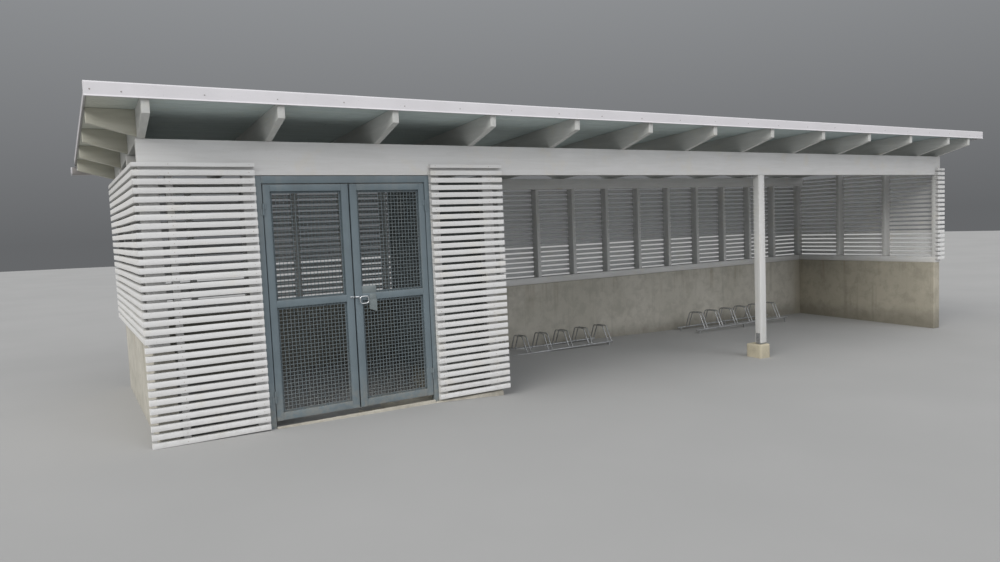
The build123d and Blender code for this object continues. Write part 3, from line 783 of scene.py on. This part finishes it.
def lip_edge(s, i, a, b):
    """Rough cast lip: its top sags and its front wanders, always inside the clean outline."""
    k = (round(s, 1), i)
    if k not in lips:
        lips[k] = (rj.uniform(0, 4.5) if a < 33 else 0.0, -rj.uniform(0, 4.0) if b > -20 else 0.0)
    return lips[k]


DOOR_X_IN = (990.0, 2511.0)
slab.bar("x", 220.0, 3288.0, 20.0, 2510.0, -260.0, -18.0, 10.0, 3, step=45, jit=slab_edge, endr=6.0)
slab.bar("x", DOOR_X_IN[0], DOOR_X_IN[1], 20.0, 46.0, -60.0, 5.0, 6.0, 2, step=32, jit=lip_edge, endr=2.0)
slab.make("bin_room_floor_slab", mat_slab, "concrete", replaces=["bin_room_slab"])


def rough_block(x0, x1, y0, y1, z0, z1, n=14, r=16.0, seed=4):
    """A cast block: rounded, with worn and slightly uneven faces, inside its own box."""
    bm = bmesh.new()
    bmesh.ops.create_cube(bm, size=2.0)
    bmesh.ops.subdivide_edges(bm, edges=bm.edges[:], cuts=n, use_grid_fill=True)
    rnd = random.Random(seed)
    hx, hy, hz = (x1 - x0) / 2, (y1 - y0) / 2, (z1 - z0) / 2
    ph = [(rnd.uniform(0, 6.28), rnd.uniform(1.5, 6.0), rnd.uniform(1.5, 6.0), rnd.uniform(1.5, 6.0)) for _ in range(9)]
    for v in bm.verts:
        p = [v.co.x * hx, v.co.y * hy, v.co.z * hz]
        h = [hx, hy, hz]
        q = [max(-h[k] + r, min(h[k] - r, p[k])) for k in range(3)]
        d = Vector((p[0] - q[0], p[1] - q[1], p[2] - q[2]))
        if d.length > 1e-6:
            d = d.normalized() * min(r, d.length) if d.length > r else d
        o = Vector(q) + d
        wob = sum(math.sin(a + o.x * fx / 60 + o.y * fy / 60 + o.z * fz / 60) for a, fx, fy, fz in ph) / 9.0
        corner = sum(1 for k in range(3) if abs(p[k]) > h[k] - r * 1.2)
        pull = 1.2 + 1.2 * wob + (corner >= 2) * (1.5 + 2.2 * max(0.0, wob))
        o -= Vector((o.x / hx, o.y / hy, o.z / hz)) * pull * 0.8
        if v.co.z < -0.99:
            o.z = -hz
        v.co = Vector(world(o.x + (x0 + x1) / 2, o.y + (y0 + y1) / 2, o.z + (z0 + z1) / 2))
    t = bm.verts.layers.float.new("tint")
    for f in bm.faces:
        f.smooth = True
    me = bpy.data.meshes.new("post_block_cast")
    bm.to_mesh(me)
    bm.free()
    me.materials.append(mat_block)
    ob = bpy.data.objects.new("post_block_cast", me)
    bpy.context.scene.collection.objects.link(ob)
    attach(ob, "shelter")
    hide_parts("post_block")
    return ob


rough_block(7212.0, 7400.0, 20.0, 257.0, -260.0, -26.0)

# ------------------------------------------------------------------ roof
dk = Soup(41)
cover, y = 94.0, DECK_FRONT
DX0, DX1 = ROOF_X0, ROOF_X1
row = 0
while y < DECK_BACK - 1:
    y1 = min(y + cover, DECK_BACK)
    j = 1900.0 + (row * 1470) % 3900
    stops = [DX0, DX0 + j, DX0 + j + 4200.0, DX1]
    stops = [s for s in stops if s <= DX1]
    if stops[-1] < DX1:
        stops.append(DX1)
    for k in range(len(stops) - 1):
        if stops[k + 1] - stops[k] < 60:
            continue
        z0 = rtop(y)
        dk.bar("x", stops[k] + 0.5, stops[k + 1] - 0.5, y + 0.4, y1 - 0.4, z0 + 0.4, z0 + DECK_T, 4.0, 1, shear=-SLOPE, aref=y, step=2500)
    y = y1
    row += 1
dk.make("roof_deck_boards", mat_soffit, "roof_timber", replaces=["roof_deck"])

ft = Soup(42)
fy = DECK_FRONT + KERB
fx0, fx1 = ROOF_X0 + KERB, ROOF_X1 - KERB
width = (fx1 - fx0) / 12.0
rf = random.Random(6)
for k in range(12):
    xa, xb = fx0 + k * width - (70 if k else 0), fx0 + (k + 1) * width
    rings = []
    for q in range(29):
        y = fy + (DECK_BACK - fy) * q / 28
        base = rtop(y) + DECK_T
        cols = []
        m = 10
        for c in range(m + 1):
            t = c / m
            lift = 0.2 + 3.1 * (1 - t) * (k > 0) + 0.5 * math.sin(5 * t + q * 0.7 + k) * (0.2 < t < 0.9)
            cols.append((xa + (xb - xa) * t, y, base + lift + 2.1))
        ring = cols + [(p[0], p[1], base + 0.02 + (3.0 * (1 - c / m) * (k > 0))) for c, p in reversed(list(enumerate(cols)))]
        rings.append(ring)
    ft.loft(rings, rf.random())
ft.make("roofing_sheets", mat_felt, "roof_felt", replaces=["roof_felt"])

# kerbs dressed in felt
kb = Soup(43)
kz = FASCIA_Z1 - 6.0
kb.profile([(DECK_FRONT, rtop(DECK_FRONT) + DECK_T), (fy + 1, rtop(fy) + DECK_T), (fy + 1, kz - 1), (DECK_FRONT, kz - 1)], ROOF_X0, ROOF_X1)
for x0, x1 in ((ROOF_X0, ROOF_X0 + KERB), (ROOF_X1 - KERB, ROOF_X1)):
    kb.bar("y", fy, DECK_BACK, x0, x1, 0.0, 37.0, 5.0, 2, step=600, jit=lambda s, i, a, b: (0.0, rtop(s) + DECK_T))
kb.make("felted_kerbs", mat_felt, "roof_felt", replaces=["roof_kerbs"])

# front fascia: lapped lengths of folded sheet with a kicked-out drip
fa = Soup(44)
fas = Soup(45)
F = DECK_FRONT - FASCIA_T
lengths = 6
L = (ROOF_X1 - ROOF_X0 + 2 * FASCIA_T) / lengths
for k in range(lengths):
    x0 = ROOF_X0 - FASCIA_T + L * k - (25 if k else 0)
    x1 = ROOF_X0 - FASCIA_T + L * (k + 1)
    o = 1.0 if k % 2 else 0.0
    f0 = F + 6.5 - o
    pts = [(F + 0.2, FASCIA_Z0), (F + 2.2, FASCIA_Z0 - 0.0), (f0 + 2.2, FASCIA_Z0 + 11.5), (f0 + 2.2, FASCIA_Z1 - 10.5 - o), (f0 + 8.0, FASCIA_Z1 - 2.2 - o),
           (fy + 10, FASCIA_Z1 - 4.5 - o), (fy + 10, FASCIA_Z1 - 2.5 - o), (f0 + 7.0, FASCIA_Z1 - 0.2 - o), (f0 + 5.6, FASCIA_Z1 - 0.9 - o), (f0, FASCIA_Z1 - 10.0 - o),
           (f0, FASCIA_Z0 + 12.5), (F + 0.2, FASCIA_Z0 + 2.5)]
    fa.profile(pts, x0, x1, tint=0.2 + 0.1 * k)
# hem under the drip, and closed ends
fa.profile([(F + 0.4, FASCIA_Z0 + 0.2), (DECK_FRONT - 0.2, FASCIA_Z0 + 0.2), (DECK_FRONT - 0.2, FASCIA_Z0 + 1.6), (F + 0.4, FASCIA_Z0 + 1.6)], ROOF_X0 - FASCIA_T, ROOF_X1 + FASCIA_T)
fa.profile([(F + 9.2, FASCIA_Z0 + 1.8), (DECK_FRONT - 0.2, FASCIA_Z0 + 1.8), (DECK_FRONT - 0.2, FASCIA_Z1 - 13.0), (F + 9.2, FASCIA_Z1 - 13.0)], ROOF_X0 + 2, ROOF_X1 - 2)
for x0 in (ROOF_X0 - FASCIA_T, ROOF_X1 + FASCIA_T - 1.5):
    fa.profile([(F + 7.0, FASCIA_Z0 + 1), (fy, FASCIA_Z0 + 1), (fy, FASCIA_Z1 - 6), (F + 14.0, FASCIA_Z1 - 4), (F + 7.0, FASCIA_Z1 - 12)], x0, x0 + 1.5)
fa.make("front_fascia_sheet", mat_fascia, "fascia_white", replaces=["front_fascia"], auto=20)
rsc = random.Random(2)
for x in [-267.0] + [-52.0 + 546.0 * k for k in range(22)] + [ROOF_X1 - 11.0]:
    xx, zz_ = x + rsc.uniform(-9, 9), 2733.0 + rsc.uniform(-5, 5)
    fas.disc((xx, F + 6.0, zz_), "-y", 5.6, 1.0, 14)
    fas.disc((xx, F + 5.2, zz_), "-y", 3.4, 2.6, 8)

# verges: folded sheet with a drip and a cap over the kerb
for side in ("left", "right"):
    vg = Soup(46)
    sg = -1.0 if side == "left" else 1.0
    edge = ROOF_X0 if side == "left" else ROOF_X1
    slope_drop = lambda y: -SLOPE * (y - DECK_FRONT)
    n = 3
    span = (DECK_BACK + FASCIA_T - DECK_FRONT) / n
    for k in range(n):
        ya, yb = DECK_FRONT + span * k - (20 if k else 0), DECK_FRONT + span * (k + 1)
        o = 0.9 if k % 2 else 0.0
        zb = FASCIA_Z0 - 4.0
        zt = rtop(DECK_FRONT) + DECK_T + 38.0
        out, inn = FASCIA_T, FASCIA_T - 7.0
        pts = [(out, zb), (out - 2, zb), (inn - 2 + o, zb + 9), (inn - 2 + o, zt + 0.6 - o), (-KERB - 4, zt + 0.6 - o), (-KERB - 4, zt - 26), (-KERB - 6, zt - 26),
               (-KERB - 6, zt + 2.6 - o), (inn + o - 1, zt + 2.6 - o), (inn + o, zt + 1.4 - o), (inn + o, zb + 10), (out, zb + 2.5)]
        rings = [[(edge + sg * a, y, b + slope_drop(y)) for a, b in pts] for y in (ya, yb)]
        vg.loft(rings, 0.3, False)
        back = [(0.2, zb + 17), (inn - 2.4, zb + 17), (inn - 2.4, zt - 3), (0.2, zt - 3)]
        vg.loft([[(edge + sg * a, y, b + slope_drop(y)) for a, b in back] for y in (ya + 0.5, yb - 0.5)], 0.4, False)
        for q in range(3):
            y = ya + 160 + (yb - ya - 320) * q / 2
            fas.disc((edge + sg * inn, y, 2730.0 + slope_drop(y)), "-x" if side == "left" else "+x", 6.5, 1.6, 10)
    vg.make(side + "_verge_sheet", mat_verge, "fascia_white", replaces=[side + "_verge_board"], auto=20)
fas.make("sheet_fixings", mat_cap, "steel")

# gutter: rounded trough with a rolled front edge, end caps and brackets
gt = Soup(47)
gy0 = DECK_BACK + FASCIA_T
gz1 = rtop(DECK_BACK) - 20.0
gz0 = gz1 - GUTTER_H
GX0, GX1 = ROOF_X0 - 52.0, ROOF_X1 + 52.0


def trough(off):
    """Half of the gutter's section: outer line moved in by off."""
    y0, y1, z0, z1 = gy0 + off, gy0 + GUTTER_W - off, gz0 + off, gz1 - 0.5
    r = 30.0 - off
    pts = [(y0, z1)]
    for k in range(7):
        t = math.radians(180 + 90 * k / 6)
        pts.append((y0 + r + r * math.cos(t), z0 + r + r * math.sin(t)))
    for k in range(7):
        t = math.radians(270 + 90 * k / 6)
        pts.append((y1 - r + r * math.cos(t), z0 + r + r * math.sin(t)))
    pts.append((y1, z1 - 6))
    return pts


sec = trough(0.3) + list(reversed(trough(2.6)))
gt.profile(sec, GX0 + 1, GX1 - 1, step=3100)
gt.tube([(GX0 + 2, gy0 + GUTTER_W - 6.5, gz1 - 6.5), (OX, gy0 + GUTTER_W - 6.5, gz1 - 6.5), (GX1 - 2, gy0 + GUTTER_W - 6.5, gz1 - 6.5)], 6.0, 10, 0.3)
caps = Soup(48)
for x0 in (GX0, GX1 - 12.0):
    caps.profile(trough(0.0), x0, x0 + 12.0)
caps.make("gutter_end_caps", mat_fascia, "fascia_white", auto=40)
x = ROOF_X0 + 140.0
while x < ROOF_X1:
    gt.bar("y", gy0 + 2.8, gy0 + GUTTER_W - 3.0, x - 12, x + 12, gz1 - 4.2, gz1 - 1.0, 1.2, 1, step=500)
    x += 892.0
gt.make("rain_gutter", mat_gutter, "fascia_white", replaces=["gutter"], auto=40)

# ------------------------------------------------------------------ door
DOOR_X0, DOOR_X1, JAMB, JAMB_Y1 = 940.0, 2561.0, 50.0, 96.0
HEAD = (2105.0, 2170.0)
LEAF_Y, LEAF_Z = (46.0, 86.0), (50.0, 2097.0)
LEFT, RIGHT = (996.0, 1752.0), (1764.0, 2505.0)
OUTER, INNER_ST = 60.0, 68.0
MID = (1035.0, 1098.0)
HINGES, HH, HR, HY = (262.0, 1886.0), 104.0, 8.0, 37.0


def barrel(s, x, z0, z1):
    rings = []
    for rr, z in ((HR - 1.4, z0), (HR, z0 + 1.4), (HR, z1 - 1.4), (HR - 1.4, z1)):
        rings.append([(x + rr * math.cos(6.28318 * k / 20), HY + rr * math.sin(6.28318 * k / 20), z) for k in range(20)])
    s.loft(rings, 0.5)


def hinge(s, xa, toward, z, lower):
    lo, hi = z - HH / 2, z + HH / 2
    a, b = (lo, z - 0.5) if lower else (z + 0.5, hi)
    k = -toward if lower else toward
    xs = sorted((xa + k * 3.0, xa + k * 26.0))
    barrel(s, xa, a, b)
    s.bar("z", a, b, xs[0], xs[1], HY + 4.0, SLAT + 0.6, 1.0, 1, step=500)
    # weld bead along the plate
    xe = xa + k * 26.0
    s.tube([(xe + k * 0.5, SLAT - 0.4, a + 2 + (b - a - 4) * q / 8) for q in range(9)], 2.2, 6, 0.6)


for name, x0, axis_x, toward in (("left_jamb", DOOR_X0, 993.0, 1), ("right_jamb", DOOR_X1 - JAMB, 2508.0, -1)):
    j = Soup(51)
    j.bar("z", -18.0, HEAD[1], x0, x0 + JAMB, SLAT, JAMB_Y1, 4.0, 3, step=900, endr=0.8)
    for z in HINGES:
        hinge(j, axis_x, toward, z, True)
    j.make(name + "_tube", mat_door, "door_grey", replaces=[name])
h = Soup(52)
h.bar("x", DOOR_X0 + JAMB, DOOR_X1 - JAMB, SLAT, JAMB_Y1, HEAD[0], HEAD[1], 4.0, 3, step=900, endr=0.5)
for xx in (DOOR_X0 + JAMB, DOOR_X1 - JAMB):
    h.tube([(xx, SLAT + 0.8, HEAD[0] + 3 + (HEAD[1] - HEAD[0] - 6) * q / 8) for q in range(9)], 1.4, 6, 0.6)
h.make("door_head_tube", mat_door, "door_grey", replaces=["door_head"])


def leaf(side):
    x0, x1 = LEFT if side == "left" else RIGHT
    sa, sb = (OUTER, INNER_ST) if side == "left" else (INNER_ST, OUTER)
    body = side + "_leaf"
    s = Soup(53)
    s.bar("z", LEAF_Z[0], LEAF_Z[1], x0, x0 + sa, *LEAF_Y, 4.0, 3, step=1100, endr=0.8)
    s.bar("z", LEAF_Z[0], LEAF_Z[1], x1 - sb, x1, *LEAF_Y, 4.0, 3, step=1100, endr=0.8)
    for z0, z1 in ((LEAF_Z[0], LEAF_Z[0] + 67.0), MID, (LEAF_Z[1] - 60.0, LEAF_Z[1])):
        s.bar("x", x0 + sa - 0.2, x1 - sb + 0.2, LEAF_Y[0] + 0.2, LEAF_Y[1] - 0.2, z0, z1, 4.0, 3, step=900, endr=0.4)
        for xx in (x0 + sa, x1 - sb):
            s.tube([(xx, LEAF_Y[0] + 1.0, z0 + 4 + (z1 - z0 - 8) * q / 8) for q in range(9)], 1.5, 6, 0.6)
    # flat strips that hold the wire behind
    for z0, z1 in ((LEAF_Z[0] + 67.0, MID[0]), (MID[1], LEAF_Z[1] - 60.0)):
        for a, b in ((x0 + sa, x0 + sa + 16.0), (x1 - sb - 16.0, x1 - sb)):
            s.bar("z", z0, z1, a, b, 71.5, 75.5, 0.8, 1, step=1000)
        for a, b in ((z0, z0 + 16.0), (z1 - 16.0, z1)):
            s.bar("x", x0 + sa + 16.0, x1 - sb - 16.0, 71.6, 75.4, a, b, 0.8, 1, step=1000)
    ax, tw = (993.0, 1) if side == "left" else (2508.0, -1)
    for z in HINGES:
        hinge(s, ax, tw, z, False)
    s.make(side + "_leaf_tubes", mat_door, "door_grey", body, [side + "_leaf_frame"])
    # woven wire, each wire crimped over and under the next
    w = Soup(54)
    R, A, YC = 2.75, 2.7, 66.0
    for z0, z1 in ((LEAF_Z[0] + 67.0, MID[0]), (MID[1], LEAF_Z[1] - 60.0)):
        xa, xb = x0 + sa, x1 - sb
        nx, nz = int(round((xb - xa) / 32.3)), int(round((z1 - z0) / 32.3))
        px, pz = (xb - xa) / nx, (z1 - z0) / nz
        for i in range(nx):
            x = xa + (i + 0.5) * px + rs.uniform(-0.2, 0.2)
            path = [(x, YC, z0 + 1.0)]
            for k in range(nz):
                sgn = 1 if (i + k) % 2 else -1
                path.append((x, YC + A * sgn, z0 + (k + 0.5) * pz))
                if k < nz - 1:
                    path.append((x, YC, z0 + (k + 1) * pz))
            path.append((x, YC, z1 - 1.0))
            w.tube(path, R, 6, rs.random())
        for k in range(nz):
            z = z0 + (k + 0.5) * pz + rs.uniform(-0.2, 0.2)
            path = [(xa + 1.0, YC, z)]
            for i in range(nx):
                sgn = -1 if (i + k) % 2 else 1
                path.append((xa + (i + 0.5) * px, YC + A * sgn, z))
                if i < nx - 1:
                    path.append((xa + (i + 1) * px, YC, z))
            path.append((xb - 1.0, YC, z))
            w.tube(path, R, 6, rs.random())
    w.make(side + "_leaf_wire", mat_mesh, "mesh_grey", body, [side + "_leaf_mesh"], auto=80)


leaf("left")
leaf("right")

# lock
lk = Soup(61)
lk.profile([(1898.2, 1034.8), (1969.8, 1034.8), (1969.8, 922.4), (1898.2, 950.0)], 41.4, 60.6, "y")
lk.profile([(1898.4, 1030.5), (1965.6, 1030.5), (1965.6, 1082.0), (1958.0, 1089.5), (1906.0, 1089.5), (1898.4, 1082.0)], 42.4, 45.9, "y")
for sx, sz in ((1907.0, 1078.0), (1956.0, 1078.0), (1907.0, 962.0), (1960.0, 944.0)):
    lk.disc((sx, 42.6 if sz > 1040 else 41.6, sz), "-y", 3.4, 1.0 if sz < 1040 else 0.4, 12)
lk.make("lock_case_body", mat_lock, "door_grey", "right_leaf", ["lock_case"], bevel=1.2, seg=2)

pl = Soup(63)
px0, px1, plate_top = RIGHT[0] + INNER_ST + 0.2, 1971.8, 1165.5
pl.profile([(px0, MID[1] + 0.1), (px1, MID[1] + 0.1), (px1, plate_top - 12), (px1 - 12, plate_top), (px0, plate_top)], 51.3, 60.5, "y")
pl.make("lock_cover_plate", mat_lock, "door_grey", "right_leaf", ["lock_plate"], bevel=2.0, seg=2)

lp = Soup(64)
cx, cz, hw, hh, rc0 = 1842.0, 1041.0, 40.5, 32.5, 22.0
path = []
for sx, sz, t0 in ((1, 1, 0), (-1, 1, 90), (-1, -1, 180), (1, -1, 270)):
    for k in range(7):
        t = math.radians(t0 + 90 * k / 6)
        path.append((cx + sx * (hw - rc0) + rc0 * math.cos(t), 21.5, cz + sz * (hh - rc0) + rc0 * math.sin(t)))
rings = []
m = len(path)
for i in range(m):
    a, b = Vector(path[i - 1]), Vector(path[(i + 1) % m])
    d = (b - a).normalized()
    s = d.cross(Vector((0, 1, 0))).normalized()
    rings.append([tuple(Vector(path[i]) + s * (5.2 * math.cos(6.28318 * q / 12)) + Vector((0, 1, 0)) * (5.2 * math.sin(6.28318 * q / 12))) for q in range(12)])
verts = [p for r in rings for p in r]
faces = [(i * 12 + q, i * 12 + (q + 1) % 12, ((i + 1) % m) * 12 + (q + 1) % 12, ((i + 1) % m) * 12 + q) for i in range(m) for q in range(12)]
lp.add(verts, faces, 0.5)
for x in (1801.5, 1882.5):
    lp.tube([(x, 22.0, 1057.0), (x, 34.0, 1057.0), (x, 45.6, 1057.0)], 4.6, 12)
    lp.tube([(x, 44.0, 1057.0), (x, 45.8, 1057.0)], 5.4, 16)
lp.make("pull_ring", mat_chrome, "chrome", "right_leaf", ["pull_loop"])

bo = Soup(65)
bo.tube([(1761.0, 38.0, 1072.0), (1778.0, 38.0, 1072.0), (1795.5, 38.0, 1072.0)], 7.2, 18)
bo.bar("x", 1774.0, 1792.0, 38.0, 45.8, 1064.6, 1079.4, 1.5, 2)
bo.make("bolt_rod", mat_chrome, "chrome", "right_leaf", ["lock_bolt"])
ke = Soup(66)
ke.bar("x", 1716.5, 1750.5, 41.5, 45.8, 1062.4, 1081.6, 1.2, 2)
ke.bar("x", 1740.0, 1750.0, 30.4, 43.0, 1062.6, 1066.6, 1.2, 2)
ke.bar("x", 1740.0, 1750.0, 30.4, 43.0, 1077.4, 1081.4, 1.2, 2)
ke.bar("x", 1740.0, 1750.0, 30.4, 33.4, 1065.6, 1078.6, 1.2, 2)
for x in (1722.5, 1733.5):
    ke.disc((x, 41.8, 1072.0), "-y", 3.2, 1.6, 10)
ke.make("keeper_staple", mat_case, "steel", "left_leaf", ["bolt_keeper"])

# post shoe: bolt heads and washers through the side plates
sh = Soup(67)
for x, nrm in ((7245.0, "-x"), (7367.0, "+x")):
    for z in (38.0, 92.0):
        sh.disc((x, 91.0, z), nrm, 11.0, 1.6, 18, 0.08)
        sh.disc((x, 91.0, z), nrm, 7.2, 7.0, 6, 0.12)
sh.make("shoe_bolts", mat_galv, "steel")
screws.make("slat_nails", mat_screw, "steel")

# weld collars where each hoop meets its rail
for name, (x0, x1, zr, first, count) in (("left_rack", (4148.0, 6352.0, -94.0, 4190.0, 7)), ("right_rack", (8090.0, 10283.0, -126.0, 8304.0, 6))):
    c = Soup(68)
    for i in range(count):
        for d in (-31.0, 31.0):
            x = first + 353.0 * i + d
            for y, sg in ((1978.0, 1), (2395.0, -1)):
                c.tube([(x, y + sg * 9.0, zr + 6.0 + 5.0), (x, y + sg * 11.5, zr + 13.0 + 3.0)], 9.6, 10)
    for x in (x0, x1):
        for y in (1978.0, 2395.0):
            s = 1 if x == x0 else -1
            c.tube([(x + s * 0.2, y, zr), (x + s * 1.6, y, zr)], 13.3, 18)
    c.make(name + "_welds", mat_galv, "steel")

# ------------------------------------------------------------------ finish of the nodes that stay as they are
KEEP = {"post_shoe": mat_galv, "left_rack_rails": mat_galv, "left_rack_hoops": mat_galv, "right_rack_rails": mat_galv, "right_rack_hoops": mat_galv}
for n, mat in KEEP.items():
    me = nodes[n].data
    for i in range(max(1, len(me.materials))):
        if i < len(me.materials):
            me.materials[i] = mat
        else:
            me.materials.append(mat)
    if "rack" in n:
        for p in me.polygons:
            p.use_smooth = True

# ------------------------------------------------------------------ floor and light
PROFILE = [(-40.0, 0.25), (-12.0, 0.12), (-3.0, 0.03), (0.0, 0.0), (1.0, -0.013), (1.75, -0.024), (2.56, -0.030), (2.9, -0.046), (3.3, -0.080), (5.2, -0.150), (7.2, -0.208),
           (9.2, -0.243), (11.43, -0.263), (15.0, -0.30), (24.0, -0.34), (60.0, -0.36)]


def ground(x, y):
    k = 0
    while k < len(PROFILE) - 2 and x > PROFILE[k + 1][0]:
        k += 1
    (xa, za), (xb, zb) = PROFILE[k], PROFILE[k + 1]
    z = za + (zb - za) * min(1.0, max(0.0, (x - xa) / (xb - xa)))
    return z + 0.022 * max(0.0, min(y, 4.0))


bm = bmesh.new()
xs = [-40 + 2 * i for i in range(18)] + [-4 + 0.5 * i for i in range(40)] + [16 + 2 * i for i in range(23)]
ys = [-30 + 2 * i for i in range(14)] + [-2 + 0.5 * i for i in range(16)] + [6 + 3 * i for i in range(15)]
grid = [[bm.verts.new((x - OX / 1000, y - OY / 1000, ground(x, y) - OZ / 1000)) for x in xs] for y in ys]
for j in range(len(ys) - 1):
    for i in range(len(xs) - 1):
        bm.faces.new((grid[j][i], grid[j][i + 1], grid[j + 1][i + 1], grid[j + 1][i])).smooth = True
me = bpy.data.meshes.new("studio_floor")
bm.to_mesh(me)
bm.free()
floor = bpy.data.objects.new("studio_floor", me)
bpy.context.scene.collection.objects.link(floor)
fl_net = Net("studio_floor")
fl_col = fl_net.mix(fl_net.ramp(fl_net.noise(fl_net.obj, 0.5, 3.0, 0.5), 0.3, 0.7), (0.405, 0.403, 0.398), (0.425, 0.422, 0.417))
me.materials.append(fl_net.finish(fl_col, 0.9, 0.0, None, 0.2))

wd = bpy.data.worlds.new("studio")
wd.use_nodes = True
wt = wd.node_tree
bg = wt.nodes["Background"]
bg.inputs[0].default_value = (0.93, 0.96, 1.0, 1.0)
w_dir = wt.nodes.new("ShaderNodeTexCoord")
w_xyz = wt.nodes.new("ShaderNodeSeparateXYZ")
w_up = wt.nodes.new("ShaderNodeMapRange")
w_up.clamp = True
for k, v in (("From Min", 0.0), ("From Max", 1.0), ("To Min", 0.14), ("To Max", 0.65)):
    w_up.inputs[k].default_value = v
wt.links.new(w_dir.outputs["Generated"], w_xyz.inputs[0])
wt.links.new(w_xyz.outputs[2], w_up.inputs["Value"])
wt.links.new(w_up.outputs[0], bg.inputs[1])
bpy.context.scene.world = wd


def sun(name, az, el, energy, angle, color=(1, 1, 1)):
    li = bpy.data.lights.new(name, "SUN")
    li.energy, li.angle, li.color = energy, math.radians(angle), color
    ob = bpy.data.objects.new(name, li)
    a, e = math.radians(az), math.radians(el)
    d = Vector((math.cos(a) * math.cos(e), math.sin(a) * math.cos(e), math.sin(e)))
    ob.rotation_euler = d.to_track_quat("Z", "Y").to_euler()
    bpy.context.scene.collection.objects.link(ob)


sun("key", 203.0, 38.0, 2.1, 50.0, (1.0, 0.985, 0.955))
sun("fill", 284.0, 28.0, 0.85, 45.0, (0.97, 0.975, 1.0))
bpy.context.scene.view_settings.view_transform = "Standard"

bpy.context.view_layer.update()
